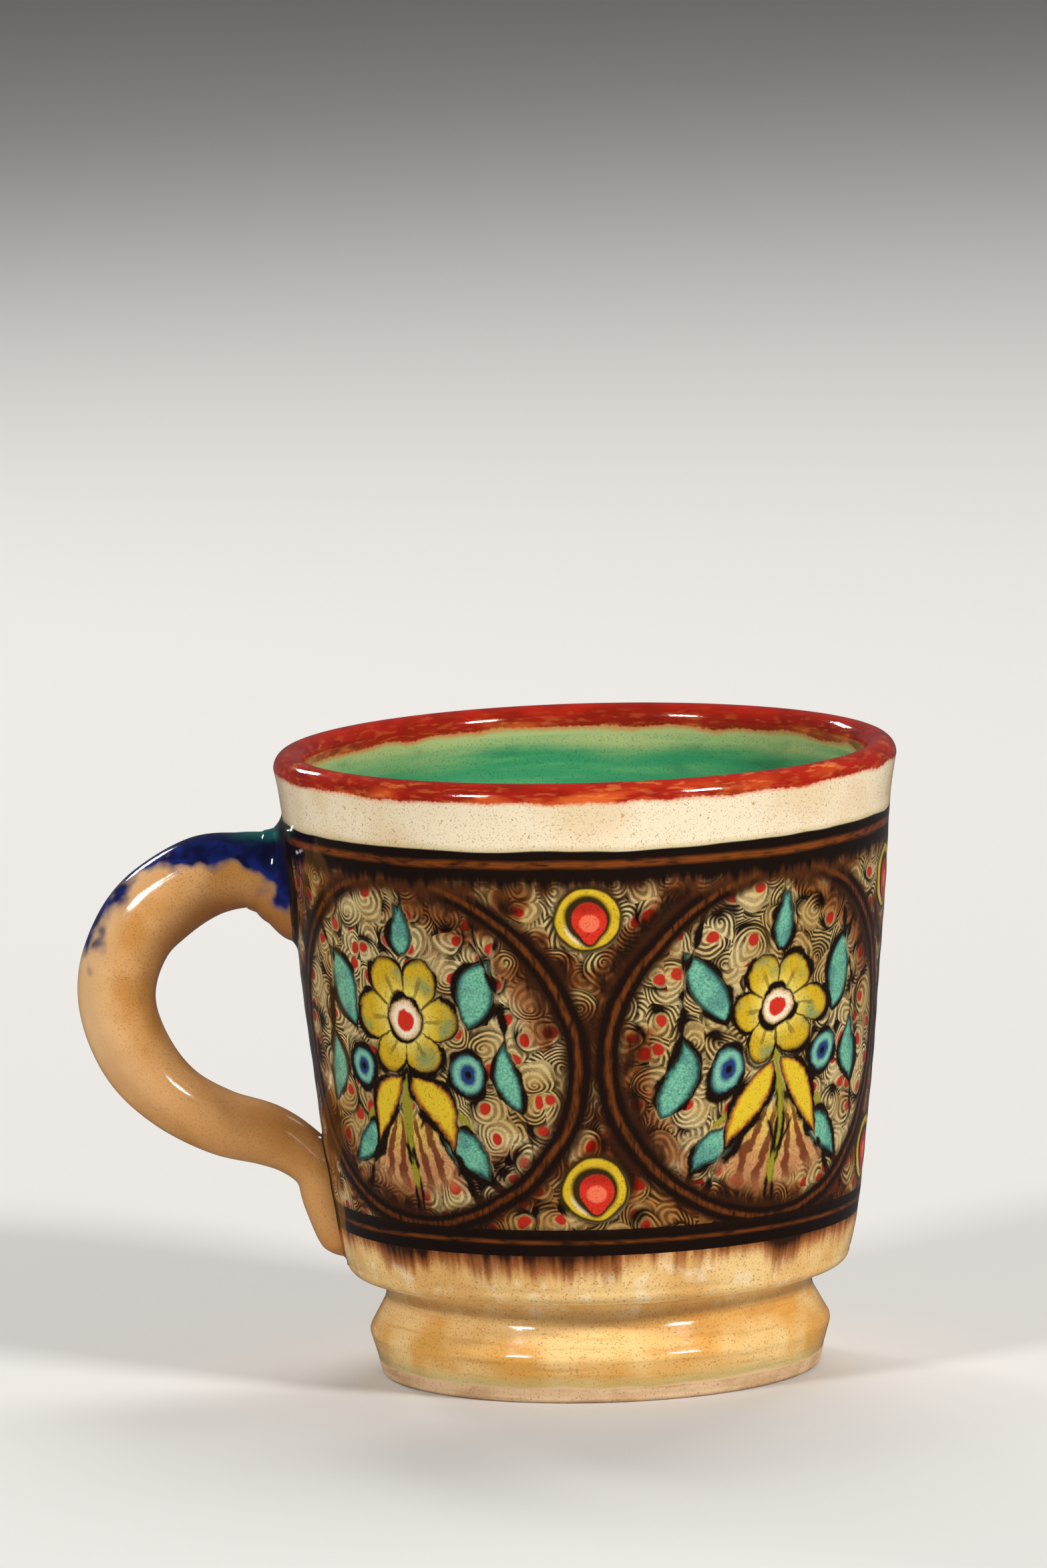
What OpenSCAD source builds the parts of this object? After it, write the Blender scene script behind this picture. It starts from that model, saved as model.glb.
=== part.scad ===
// Footed clay mug with a pulled handle, a red lip, a green inside and a painted band of roundels.
// Millimetres. Up is +Z, the foot stands on Z = 0 around the origin and the handle points along -X.
// The clay pieces carry thin coats of glaze and coloured slip, which meet the clay face to face.

/* [Cup] */
// Height from the table to the top of the lip
mug_h = 93; // [80:1:110]
// Outer radius at the widest part of the lip
lip_r = 46; // [43:0.5:52]
// How far the lip flares out beyond the wall at the top of the painted band
lip_flare = 1.1; // [0:0.1:3]
// How far the wall draws in from there down to its rounded lower edge
wall_taper = 7.6; // [4:0.1:10]
// Thickness of the wall with its coats
wall_t = 4.2; // [3:0.1:6]
// Radius of the rolled lip
lip_round_r = 2.5; // [2.2:0.1:3.5]
// Thickness of the floor with its coat
floor_t = 6; // [4:0.5:9]
// Radius of the hollow between the floor and the wall inside
bowl_round_r = 8; // [4:0.5:14]
// Radius of the rounded lower edge of the wall
shoulder_r = 2.2; // [1:0.1:2.6]

/* [Foot] */
// Height of the waist, where the cup sits on its foot
waist_h = 12.2; // [11:0.1:15]
// How far the waist is turned in behind the lower edge of the wall
waist_inset = 5.7; // [5:0.1:8]
// Radius of the hollow turned at the waist
cove_r = 2.8; // [1.5:0.1:3]
// How far the ridge around the foot stands out beyond the waist
ridge_rise = 2.5; // [1.6:0.1:4]
// Distance from the waist down to the ridge
ridge_drop = 5.7; // [5:0.1:7]
// Radius of the rounded crest of the ridge
ridge_round_r = 1.6; // [0.8:0.1:2]
// How far the foot draws in below the ridge
base_inset = 1.6; // [1:0.1:2.5]
// Width of the ring on which the foot stands
foot_ring_w = 7.5; // [4:0.1:12]
// Radius of the rounded edges on which the foot stands
foot_edge_r = 0.8; // [0.4:0.1:1.2]
// Height of the bare clay edge that is wiped clean of glaze
bare_h = 2.2; // [1.5:0.1:3]

/* [Handle] */
// Distance from the wall to the centre line of the handle at its widest
handle_out = 27.3; // [22:0.1:34]
// Distance from the top of the lip down to the centre line at the top of the handle
handle_top_drop = 17.6; // [15:0.1:22]
// Height above the underside of the cup at which the tail of the handle ends
handle_tail_rise = 2.8; // [2.5:0.1:9]
// Thickness of the handle in the plane of its loop
handle_t = 12; // [9:0.1:14]
// Width of the handle across its loop
handle_w = 14; // [10:0.1:18]

/* [Coats] */
// Thickness of each coat of glaze or slip
coat_t = 0.4; // [0.2:0.05:0.8]
// Thickness of the slip that joins the handle to the cup
joint_t = 1; // [0.6:0.1:1.6]
// How far that slip is squeezed out around the handle
joint_squeeze = 0.8; // [0.4:0.1:1.4]
// How far the red coat runs down the outside below the rounded lip
red_outside_h = 0.3; // [0.1:0.1:3]
// How far the red coat runs down the inside below the rounded lip
red_inside_h = 1.7; // [0.5:0.1:5]

/* [Painted band] */
// Distance from the top of the lip down to the painted band
neck_h = 9.9; // [8:0.1:12]
// Height of the honey wall between the underside of the cup and the painted band
skirt_h = 7.9; // [6:0.1:10]
// Height of the upper border stripe
upper_border_h = 4.3; // [2:0.1:4.8]
// Height of the lower border stripe
lower_border_h = 3.9; // [2:0.1:4.4]
// Number of roundels around the mug
roundel_count = 4; // [2:1:4]
// Angle from one roundel to the next
roundel_pitch = 81; // [80:0.5:84]
// Space between the frames of two neighbouring roundels
roundel_gap = 0.8; // [0.6:0.1:6]
// Space between the field of a roundel and the border stripes
roundel_margin = 1.2; // [0.6:0.1:4]
// Width of the line that frames a roundel
roundel_frame_w = 2.4; // [1:0.1:2.5]
// Radius of the yellow disc of a rosette
rosette_r = 4.8; // [3:0.1:5]
// Radius of the red heart of a rosette
rosette_heart_r = 3.1; // [1:0.1:3.4]
// Distance from the middle of a rosette to the nearest border stripe
rosette_inset = 5.8; // [5.2:0.1:8]

/* [Hidden] */
$fn = 96;

// Outer radius of the wall at the top of the painted band and just above its rounded lower edge
wall_band_r = lip_r - lip_flare;
wall_foot_r = wall_band_r - wall_taper;
// How the wall swells between those two, as a power of the height
wall_swell_share = 0.72;
// Outer radii of the foot at its waist, at its ridge and at the table, and of the hollow under it
waist_r = wall_foot_r - waist_inset;
ridge_r = waist_r + ridge_rise;
base_r = ridge_r - base_inset;
recess_r = base_r - foot_ring_w;
// Height of the ridge
ridge_z = waist_h - ridge_drop;
// Height of the flat underside of the cup outside the waist
underside_z = waist_h + cove_r;
// Height at which the wall starts above its rounded lower edge
wall_foot_z = underside_z + shoulder_r;
// Height of the centre of the rolled lip
lip_z = mug_h - lip_round_r;
// Height of the floor inside
floor_z = waist_h + floor_t;
// Heights of the lower edges of the red coat
red_outside_z = lip_z - red_outside_h;
red_inside_z = lip_z - red_inside_h;
// Heights of the painted band, and of the field between its two border stripes
band_top_z = mug_h - neck_h;
band_bottom_z = underside_z + skirt_h;
field_bottom_z = band_bottom_z + lower_border_h;
field_top_z = band_top_z - upper_border_h;
field_middle_z = (field_bottom_z + field_top_z) / 2;
field_half_h = (field_top_z - field_bottom_z) / 2;
// Height of the handle's centre line at its top and at the end of its tail
handle_top_z = mug_h - handle_top_drop;
handle_tail_z = underside_z + handle_tail_rise;
// Reach of the cutters that run out from the axis through the wall
cutter_reach = lip_r + wall_t;
// Flat sides on each of those cutters
cutter_sides = 48;
// Thickness of the blue coat on the handle
splash_t = coat_t;

// Radius of the swelling wall at a height, without the flare of the lip
function swelling_radius(z) =
    wall_foot_r
    + (wall_band_r - wall_foot_r)
    * pow(max(z - wall_foot_z, 0) / (band_top_z - wall_foot_z), wall_swell_share);

// Share of the way from the painted band up to the lip
function lip_share(z) = max(z - band_top_z, 0) / (lip_z - band_top_z);

// Outer radius of the wall at a height
function wall_radius(z) = swelling_radius(z) + (lip_r - swelling_radius(lip_z)) * pow(lip_share(z), 2);

// Inner radius of the wall at a height: the wall thickens into the rolled lip
function inner_radius(z) =
    wall_radius(z) - wall_t - (2 * lip_round_r - wall_t) * pow(lip_share(z), 2);

// Points of an arc, without its first point
function arc(centre, r, from_a, to_a, steps) =
    [for (i = [1:steps]) centre + r * [cos(from_a + (to_a - from_a) * i / steps),
                                       sin(from_a + (to_a - from_a) * i / steps)]];

// Points up or down the outer wall, without the first
function outer_run(from_z, to_z, steps) =
    [for (i = [1:steps]) let (z = from_z + (to_z - from_z) * i / steps) [wall_radius(z), z]];

// Points up or down the inner wall, without the first
function inner_run(from_z, to_z, steps) =
    [for (i = [1:steps]) let (z = from_z + (to_z - from_z) * i / steps) [inner_radius(z), z]];

// Foot: centres of the ridge and of the waist, and the slope that touches both rounds
ridge_centre = [ridge_r - ridge_round_r, ridge_z];
cove_centre = [waist_r + cove_r, waist_h];
ridge_to_cove = cove_centre - ridge_centre;
slope_a = atan2(ridge_to_cove[1], ridge_to_cove[0]) - acos((ridge_round_r + cove_r) / norm(ridge_to_cove));
base_edge = [base_r, foot_edge_r];
ridge_start_a = -20;
ridge_start = ridge_centre + ridge_round_r * [cos(ridge_start_a), sin(ridge_start_a)];
bare_edge = base_edge + (ridge_start - base_edge) * (bare_h - foot_edge_r) / (ridge_start[1] - foot_edge_r);

// Centre of the hollow between the floor and the inner wall
bowl_z = floor_z + bowl_round_r;
bowl_centre = [inner_radius(bowl_z) - bowl_round_r, bowl_z];

// Steps of the lip's outline on each side and over its round
lip_side_steps = 1;
lip_round_steps = 12;

// The glazed surface, from the bare edge of the foot up over the lip and down to the middle of the floor
foot_run = concat([bare_edge, ridge_start],
    arc(ridge_centre, ridge_round_r, ridge_start_a, slope_a, 4),
    [cove_centre - cove_r * [cos(slope_a), sin(slope_a)]],
    arc(cove_centre, cove_r, 180 + slope_a, 180, 3));
lower_run = concat(arc(cove_centre, cove_r, 180, 90, 6),
    [[wall_foot_r - shoulder_r, underside_z]],
    arc([wall_foot_r - shoulder_r, wall_foot_z], shoulder_r, -90, 0, 6),
    outer_run(wall_foot_z, band_bottom_z, 3));
lower_border_run = outer_run(band_bottom_z, field_bottom_z, 2);
field_run = outer_run(field_bottom_z, field_top_z, 3);
upper_border_run = outer_run(field_top_z, band_top_z, 2);
slip_run = outer_run(band_top_z, red_outside_z, 4);
lip_run = concat(outer_run(red_outside_z, lip_z, lip_side_steps),
    arc([lip_r - lip_round_r, lip_z], lip_round_r, 0, 180, lip_round_steps),
    inner_run(lip_z, red_inside_z, lip_side_steps));
liner_run = concat(inner_run(red_inside_z, bowl_z, 14),
    arc(bowl_centre, bowl_round_r, 0, -90, 8),
    [[0, floor_z]]);
skin = concat(foot_run, lower_run, lower_border_run, field_run,
    upper_border_run, slip_run, lip_run, liner_run);

// Where each run ends in the list of points
waist_i = len(foot_run) - 1;
lower_i = waist_i + len(lower_run);
lower_border_i = lower_i + len(lower_border_run);
field_i = lower_border_i + len(field_run);
upper_border_i = field_i + len(upper_border_run);
slip_i = upper_border_i + len(slip_run);
lip_i = slip_i + len(lip_run);
floor_i = lip_i + len(liner_run);
lip_top_i = slip_i + lip_side_steps + lip_round_steps / 2;

// Unit normal out of the clay at a point of the surface; level at the waist, where cup and foot part
function skin_normal(i) =
    i == waist_i ? [1, 0] :
    let (along = skin[min(i + 1, floor_i)] - skin[max(i - 1, 0)]) [along[1], -along[0]] / norm(along);

// The surface moved along its normals, inwards where the distance is negative
function moved_skin(from_i, to_i, d) =
    [for (i = [from_i : from_i < to_i ? 1 : -1 : to_i]) skin[i] + d * skin_normal(i)];

// Cross-section of the coat between two points of the surface
module coat_outline(from_i, to_i) {
    polygon(concat(moved_skin(from_i, to_i, 0), moved_skin(to_i, from_i, -coat_t)));
}

// Coat between two points of the surface, all the way round
module coat(from_i, to_i) {
    rotate_extrude()
        coat_outline(from_i, to_i);
}

// Coat of the painted field between two angles measured from -Y towards +X
module field_sector(from_a, to_a) {
    rotate(from_a - 90)
        rotate_extrude(angle = to_a - from_a)
            coat_outline(lower_border_i, field_i);
}

// Solid cup without its hollow, its surface moved out by d
module cup_envelope(d) {
    rotate_extrude()
        polygon(concat([[0, waist_h]], moved_skin(waist_i, lip_top_i, d), [[0, mug_h + d]]));
}

// Oval cutter that runs out from the axis through the wall, angle measured from -Y towards +X
module radial_cutter(a, z, half_w, half_h) {
    rotate(a)
        translate([0, 0, z])
            rotate([90, 0, 0])
                linear_extrude(cutter_reach)
                    polygon([for (i = [1:cutter_sides])
                        [half_w * cos(360 * i / cutter_sides), half_h * sin(360 * i / cutter_sides)]]);
}

// Angle of the middle of a roundel, and of the gap on its right where a pair of rosettes sits
function roundel_a(i) = (i - 0.5) * roundel_pitch;
function gap_a(i) = i * roundel_pitch;

// Half sizes of a roundel: it fills the space around the wall between the gaps, and the band's height
frame_half_w = wall_radius(field_middle_z) * sin(roundel_pitch / 2) - roundel_gap / 2;
frame_half_h = field_half_h - roundel_margin + roundel_frame_w;
roundel_half_w = frame_half_w - roundel_frame_w;
roundel_half_h = field_half_h - roundel_margin;
// Distance from the middle of the band to the rosettes above and below
rosette_rise = field_half_h - rosette_inset;

// Oval of the field's coat around the middle of roundel i
module roundel_oval(i, half_w, half_h) {
    intersection() {
        field_sector(roundel_a(i) - roundel_pitch / 2, roundel_a(i) + roundel_pitch / 2);
        radial_cutter(roundel_a(i), field_middle_z, half_w, half_h);
    }
}

// Coat of the field between the middles of two roundels, without the roundels and their frames
module field_gap(from_a, to_a) {
    difference() {
        field_sector(from_a, to_a);
        radial_cutter(from_a, field_middle_z, frame_half_w, frame_half_h);
        radial_cutter(to_a, field_middle_z, frame_half_w, frame_half_h);
    }
}

// Round cutter in gap i, above the middle of the band for side 1 and below it for side -1
module rosette_cutter(i, side, r) {
    radial_cutter(gap_a(i), field_middle_z + side * rosette_rise, r, r);
}

// Disc of the field's coat at the same place
module rosette(i, side, r) {
    intersection() {
        field_sector(gap_a(i) - roundel_pitch / 4, gap_a(i) + roundel_pitch / 4);
        rosette_cutter(i, side, r);
    }
}

// Stations along the handle from the upper root to the tail. Each row holds the distance from the wall
// as a share of handle_out, the height as a share of the rise from tail to top, then the thickness and
// the width as shares of handle_t and handle_w.
handle_shares = [
    [-0.15, 0.984, 1.80, 1.46],
    [0.00, 0.986, 1.56, 1.32],
    [0.075, 0.990, 1.24, 1.12],
    [0.15, 0.996, 1.01, 1.02],
    [0.25, 1.000, 0.91, 1.00],
    [0.46, 0.985, 1.03, 1.00],
    [0.69, 0.925, 1.03, 1.00],
    [0.86, 0.850, 1.00, 1.00],
    [0.98, 0.740, 0.98, 1.00],
    [1.00, 0.630, 0.95, 0.98],
    [0.92, 0.510, 0.90, 0.96],
    [0.76, 0.415, 0.85, 0.94],
    [0.535, 0.350, 0.80, 0.94],
    [0.30, 0.315, 0.76, 0.94],
    [0.15, 0.275, 0.67, 0.95],
    [0.045, 0.220, 0.63, 0.96],
    [0.010, 0.145, 0.66, 0.96],
    [-0.015, 0.070, 0.64, 0.92],
    [-0.035, 0.030, 0.54, 0.84],
    [-0.050, 0.000, 0.40, 0.70]
];
handle_last = len(handle_shares) - 1;
rings_per_station = 3;
handle_sides = 24;
handle_rings = handle_last * rings_per_station;
// Counts of stations along the upper root and along the tail, and the rings where these two end and start
root_station_count = 3;
tail_station_count = 6;
upper_joint_end = root_station_count * rings_per_station;
lower_joint_start = handle_rings - tail_station_count * rings_per_station;
// Rings and sides over which the blue coat runs, wide at the root and narrow along the top
splash_root_end = 8;
splash_end = 18;
splash_root_side = 8;
splash_side = 4;

// Smooth row of shares at a place counted in stations
function handle_row(u) =
    let (i = min(floor(u), handle_last - 1),
         f = u - i,
         a = handle_shares[max(i - 1, 0)],
         b = handle_shares[i],
         c = handle_shares[i + 1],
         d = handle_shares[min(i + 2, handle_last)])
    (2 * b + (c - a) * f + (2 * a - 5 * b + 4 * c - d) * f * f + (3 * b - a - 3 * c + d) * f * f * f) / 2;

// Point of the centre line in the plane of the loop
function handle_point(u) =
    let (row = handle_row(u), z = handle_tail_z + row[1] * (handle_top_z - handle_tail_z))
    [-wall_radius(z) - row[0] * handle_out, z];

// Frame of ring i: centre, outward normal, half thickness and half width
function handle_frame(i) =
    let (u = i / rings_per_station,
         step = 0.05,
         ahead = handle_point(min(u + step, handle_last)),
         behind = handle_point(max(u - step, 0)),
         along = (ahead - behind) / norm(ahead - behind),
         row = handle_row(u))
    [handle_point(u), [along[1], -along[0]], row[2] * handle_t / 2, row[3] * handle_w / 2];

// Point on side j of a ring, with the section grown by g; side 0 is the outside of the loop
function ring_point(frame, j, g) =
    let (a = 360 * j / handle_sides,
         rise = (frame[2] + g) * cos(a),
         across = (frame[3] + g) * sin(a))
    [frame[0][0] + frame[1][0] * rise, across, frame[0][1] + frame[1][1] * rise];

// The handle's shape from one ring to another, its section grown by g
module handle_sweep(from_ring, to_ring, g) {
    rings = to_ring - from_ring;
    frames = [for (i = [from_ring:to_ring]) handle_frame(i)];
    points = [for (i = [0:rings], j = [0:handle_sides - 1]) ring_point(frames[i], j, g)];
    function at(i, j) = i * handle_sides + j % handle_sides;
    sides = [for (i = [0:rings - 1], j = [0:handle_sides - 1], k = [0, 1])
        k == 0 ? [at(i, j), at(i + 1, j), at(i + 1, j + 1)] : [at(i, j), at(i + 1, j + 1), at(i, j + 1)]];
    first_cap = [for (j = [0:handle_sides - 1]) at(0, j)];
    last_cap = [for (j = [handle_sides - 1:-1:0]) at(rings, j)];
    polyhedron(points, concat(sides, [first_cap, last_cap]));
}

// Coat on the outside of the handle from one ring to another, over a number of sides each way
module handle_coat(from_ring, to_ring, side_reach) {
    rings = to_ring - from_ring;
    width = 2 * side_reach;
    frames = [for (i = [from_ring:to_ring]) handle_frame(i)];
    points = [for (g = [0, splash_t], i = [0:rings], j = [-side_reach:side_reach])
        ring_point(frames[i], j, g)];
    function at(g, i, j) = (g * (rings + 1) + i) * (width + 1) + j;
    top = [for (i = [0:rings - 1], j = [0:width - 1], k = [0, 1])
        k == 0 ? [at(1, i, j), at(1, i + 1, j), at(1, i + 1, j + 1)]
               : [at(1, i, j), at(1, i + 1, j + 1), at(1, i, j + 1)]];
    bottom = [for (i = [0:rings - 1], j = [0:width - 1], k = [0, 1])
        k == 0 ? [at(0, i + 1, j + 1), at(0, i + 1, j), at(0, i, j)]
               : [at(0, i, j + 1), at(0, i + 1, j + 1), at(0, i, j)]];
    long_edges = [for (i = [0:rings - 1], k = [0, 1], end = [0, 1])
        let (j = end * width,
             corners = [at(0, i, j), at(0, i + 1, j), at(1, i + 1, j), at(1, i, j)],
             turned = end == 0 ? corners : [corners[3], corners[2], corners[1], corners[0]])
        k == 0 ? [turned[0], turned[1], turned[2]] : [turned[0], turned[2], turned[3]]];
    short_edges = [for (j = [0:width - 1], k = [0, 1], end = [0, 1])
        let (i = end * rings,
             corners = [at(0, i, j + 1), at(0, i, j), at(1, i, j), at(1, i, j + 1)],
             turned = end == 0 ? corners : [corners[3], corners[2], corners[1], corners[0]])
        k == 0 ? [turned[0], turned[1], turned[2]] : [turned[0], turned[2], turned[3]]];
    polyhedron(points, concat(top, bottom, long_edges, short_edges));
}

// Where the upper and the lower end of the handle pass through the coats
module upper_root() {
    handle_sweep(0, upper_joint_end, joint_squeeze);
}

module lower_root() {
    handle_sweep(lower_joint_start, handle_rings, joint_squeeze);
}

// Slip between the clay of the cup and an end of the handle
module slip_joint() {
    difference() {
        intersection() {
            children();
            cup_envelope(joint_t);
        }
        cup_envelope(-coat_t);
    }
}

// Thrown clay cup, open at the top, with a flat underside that sits on the foot
module cup() {
    color("tan")
        rotate_extrude()
            polygon(concat([[0, waist_h]], moved_skin(waist_i, floor_i, -coat_t)));
}

// Turned clay ring on which the cup stands
module foot_ring() {
    color("burlywood")
        rotate_extrude()
            polygon(concat(
                [[recess_r, waist_h], [recess_r, foot_edge_r]],
                arc([recess_r + foot_edge_r, foot_edge_r], foot_edge_r, 180, 270, 4),
                [[base_r - foot_edge_r, 0]],
                arc([base_r - foot_edge_r, foot_edge_r], foot_edge_r, -90, 0, 4),
                moved_skin(0, 0, 0),
                moved_skin(0, waist_i, -coat_t)));
}

// Pulled clay handle, with its flared root at the top and its tail smeared down the wall
module handle() {
    color("peru")
        difference() {
            handle_sweep(0, handle_rings, 0);
            cup_envelope(joint_t);
        }
}

// Slip that fixes the root of the handle under the lip
module upper_joint() {
    color("saddlebrown") slip_joint() upper_root();
}

// Slip that fixes the tail of the handle to the lower wall
module lower_joint() {
    color("saddlebrown") slip_joint() lower_root();
}

// Green glaze over the whole inside
module liner_glaze() {
    color("mediumseagreen") coat(lip_i, floor_i);
}

// Red glaze over the lip
module rim_glaze() {
    color("firebrick") coat(slip_i, lip_i);
}

// Cream slip below the lip
module slip_band() {
    color("cornsilk")
        difference() {
            coat(upper_border_i, slip_i);
            upper_root();
        }
}

// Dark stripe along the top of the painted band
module upper_border() {
    color([0.20, 0.11, 0.06])
        difference() {
            coat(field_i, upper_border_i);
            upper_root();
        }
}

// Scroll ground in the gaps between the roundels and in the wide gap behind the handle
module painted_ground() {
    color([0.55, 0.42, 0.26]) {
        for (i = [0:roundel_count - 2])
            difference() {
                field_gap(roundel_a(i), roundel_a(i + 1));
                rosette_cutter(i, 1, rosette_r);
                rosette_cutter(i, -1, rosette_r);
            }
        difference() {
            field_gap(roundel_a(roundel_count - 1), roundel_a(0) + 360);
            upper_root();
            lower_root();
        }
    }
}

// Dark ring around each roundel
module roundel_frames() {
    color([0.30, 0.14, 0.06])
        for (i = [0:roundel_count - 1])
            difference() {
                roundel_oval(i, frame_half_w, frame_half_h);
                radial_cutter(roundel_a(i), field_middle_z, roundel_half_w, roundel_half_h);
            }
}

// Pale field inside each roundel
module roundel_fields() {
    color([0.80, 0.70, 0.45])
        for (i = [0:roundel_count - 1])
            roundel_oval(i, roundel_half_w, roundel_half_h);
}

// Yellow disc of each rosette, open around its heart
module rosette_discs() {
    color([0.80, 0.66, 0.16])
        for (i = [0:roundel_count - 2], side = [-1, 1])
            difference() {
                rosette(i, side, rosette_r);
                rosette_cutter(i, side, rosette_heart_r);
            }
}

// Red heart of each rosette
module rosette_hearts() {
    color([0.78, 0.16, 0.08])
        for (i = [0:roundel_count - 2], side = [-1, 1])
            rosette(i, side, rosette_heart_r);
}

// Dark stripe along the bottom of the painted band
module lower_border() {
    color([0.20, 0.11, 0.06])
        difference() {
            coat(lower_i, lower_border_i);
            lower_root();
        }
}

// Honey glaze on the lower wall and its underside, down to the waist
module lower_glaze() {
    color([0.85, 0.66, 0.40])
        difference() {
            coat(waist_i, lower_i);
            lower_root();
        }
}

// Honey glaze on the foot, wiped off at its lower edge
module foot_glaze() {
    color([0.84, 0.64, 0.32]) coat(0, waist_i);
}

// Cobalt glaze that runs from the root along the top of the handle
module cobalt_splash() {
    color([0.08, 0.12, 0.45])
        difference() {
            union() {
                handle_coat(0, splash_root_end, splash_root_side);
                handle_coat(splash_root_end - rings_per_station, splash_end, splash_side);
            }
            cup_envelope(joint_t);
        }
}

cup();
foot_ring();
handle();
upper_joint();
lower_joint();
liner_glaze();
rim_glaze();
slip_band();
upper_border();
painted_ground();
roundel_frames();
roundel_fields();
rosette_discs();
rosette_hearts();
lower_border();
lower_glaze();
foot_glaze();
cobalt_splash();
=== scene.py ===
"""Looks of the footed clay mug: thrown wall and foot, pulled handle, glazes, painting and studio."""

import math
from types import SimpleNamespace

import bpy
import numpy as np
from bpy.props import FloatProperty, FloatVectorProperty, IntProperty, PointerProperty
from mathutils import Matrix, Vector


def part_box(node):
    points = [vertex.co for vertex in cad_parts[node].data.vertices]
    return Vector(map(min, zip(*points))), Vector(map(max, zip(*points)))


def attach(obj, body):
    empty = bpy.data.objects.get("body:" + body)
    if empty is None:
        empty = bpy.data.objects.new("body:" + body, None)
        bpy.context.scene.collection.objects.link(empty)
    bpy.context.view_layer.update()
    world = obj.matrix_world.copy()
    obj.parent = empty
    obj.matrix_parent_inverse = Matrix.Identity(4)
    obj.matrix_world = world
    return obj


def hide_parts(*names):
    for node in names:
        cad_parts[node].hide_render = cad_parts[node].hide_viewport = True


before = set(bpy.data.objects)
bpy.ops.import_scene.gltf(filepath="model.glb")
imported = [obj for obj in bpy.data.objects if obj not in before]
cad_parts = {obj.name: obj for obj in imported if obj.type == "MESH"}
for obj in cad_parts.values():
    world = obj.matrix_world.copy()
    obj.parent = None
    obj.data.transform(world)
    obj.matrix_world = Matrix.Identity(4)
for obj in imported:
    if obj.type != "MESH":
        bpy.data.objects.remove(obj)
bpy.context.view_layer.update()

bl_info = {
    "name": "Footed Clay Mug",
    "version": (1, 0, 0),
    "blender": (4, 5, 0),
    "location": "View3D > Sidebar > Mug",
    "description": "Makes a glazed and painted clay mug on a turned foot",
    "category": "Object",
}

MM = 0.001
BAKE_MAP = "OFBake"
# Columns of a piece that runs all the way round.
AROUND = 288
COAT = 0.4 * MM
# Refractive index of the painted band, whose dark paint mirrors less than the glazes do.
PAINT_INDEX = 1.37
# Half the root's width as a share of the handle's width.
ROOT_SPREAD = 0.73
# Power that bellies the wall between the foot and the lip.
SWELL = 0.72


def low(node):
    """Lowest corner of a CAD node."""
    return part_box(node)[0]


def high(node):
    """Highest corner of a CAD node."""
    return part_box(node)[1]


def length(name, description, default, precision=4, **limits):
    """Setting of a length in metres."""
    return FloatProperty(
        name=name, description=description, default=default, precision=precision, unit="LENGTH", **limits)


class MugSizes(bpy.types.PropertyGroup):
    """Sizes of the mug. Those that the frame shows take their defaults from it."""

    height: length(
        "Height", "From the table to the top of the lip", high("rim_glaze").z, min=0.05, max=0.2)
    lip_radius: length("Lip Radius", "Outer radius of the lip", high("rim_glaze").x, min=0.02, max=0.1)
    lip_round: length("Lip Round", "Radius of the rolled lip", 2.5 * MM)
    lip_flare: length(
        "Lip Flare", "How far the lip flares out beyond the top of the painted band", 1.1 * MM)
    wall_taper: length(
        "Wall Taper", "How far the wall draws in below the top of the painted band", 7.6 * MM)
    wall_thickness: length("Wall", "Thickness of the wall with its coats", 4.2 * MM)
    floor_height: length("Floor", "Height of the floor inside", low("liner_glaze").z + COAT)
    bowl_round: length("Bowl Round", "Radius of the hollow between floor and wall", 8 * MM)
    shoulder: length("Shoulder", "Radius of the rounded lower edge of the wall", 2.2 * MM)
    waist_height: length("Waist Height", "Height of the waist above the foot", high("foot_glaze").z)
    waist_inset: length("Waist Inset", "How far the waist is cut in behind the wall", 5.7 * MM)
    cove: length("Cove", "Radius of the hollow turned at the waist", 2.8 * MM)
    ridge_radius: length(
        "Ridge Radius", "Outer radius of the ridge around the foot", high("foot_glaze").x)
    ridge_drop: length("Ridge Drop", "From the waist down to the ridge", 5.7 * MM)
    ridge_round: length("Ridge Round", "Radius of the crest of the ridge", 1.6 * MM)
    base_inset: length("Base Inset", "How far the foot draws in below the ridge", 1.6 * MM)
    foot_ring_width: length("Foot Ring", "Width of the ring on which the foot stands", 7.5 * MM)
    foot_edge: length("Foot Edge", "Radius of the rounded edges of the foot", 0.8 * MM)
    coat: length("Coat", "Thickness of each coat of glaze or paint", COAT, precision=5)
    handle_out: length(
        "Handle Reach", "From the wall to the handle's centre line at its widest", 27.3 * MM)
    handle_top: length("Handle Top", "Height of the handle's centre line at its top", 75.4 * MM)
    handle_tail: length("Handle Tail", "Height at which the tail ends on the wall", 17.8 * MM)
    handle_thickness: length("Handle Thickness", "Thickness in the plane of the loop", 12 * MM)
    handle_width: length("Handle Width", "Width across the loop", high("handle").y / ROOT_SPREAD)


class MugPainting(bpy.types.PropertyGroup):
    """Layout of the painted band."""

    roundels: IntProperty(name="Roundels", description="Number of roundels", default=4, min=1, max=4)
    pitch: FloatProperty(
        name="Pitch", description="Angle from one roundel to the next",
        default=math.radians(81), subtype="ANGLE")
    gap: length("Gap", "Space between the frames of two roundels", 0.8 * MM)
    margin: length("Margin", "Space between a roundel's field and the border stripes", 1.2 * MM)
    frame_width: length("Frame Width", "Width of the line that frames a roundel", 2.4 * MM)
    rosette: length("Rosette", "Radius of a rosette", 4.8 * MM)
    heart: length("Heart", "Radius of the red heart of a rosette", 3.1 * MM)
    rosette_inset: length(
        "Rosette Inset", "From the middle of a rosette to the nearest border", 5.8 * MM)


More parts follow.
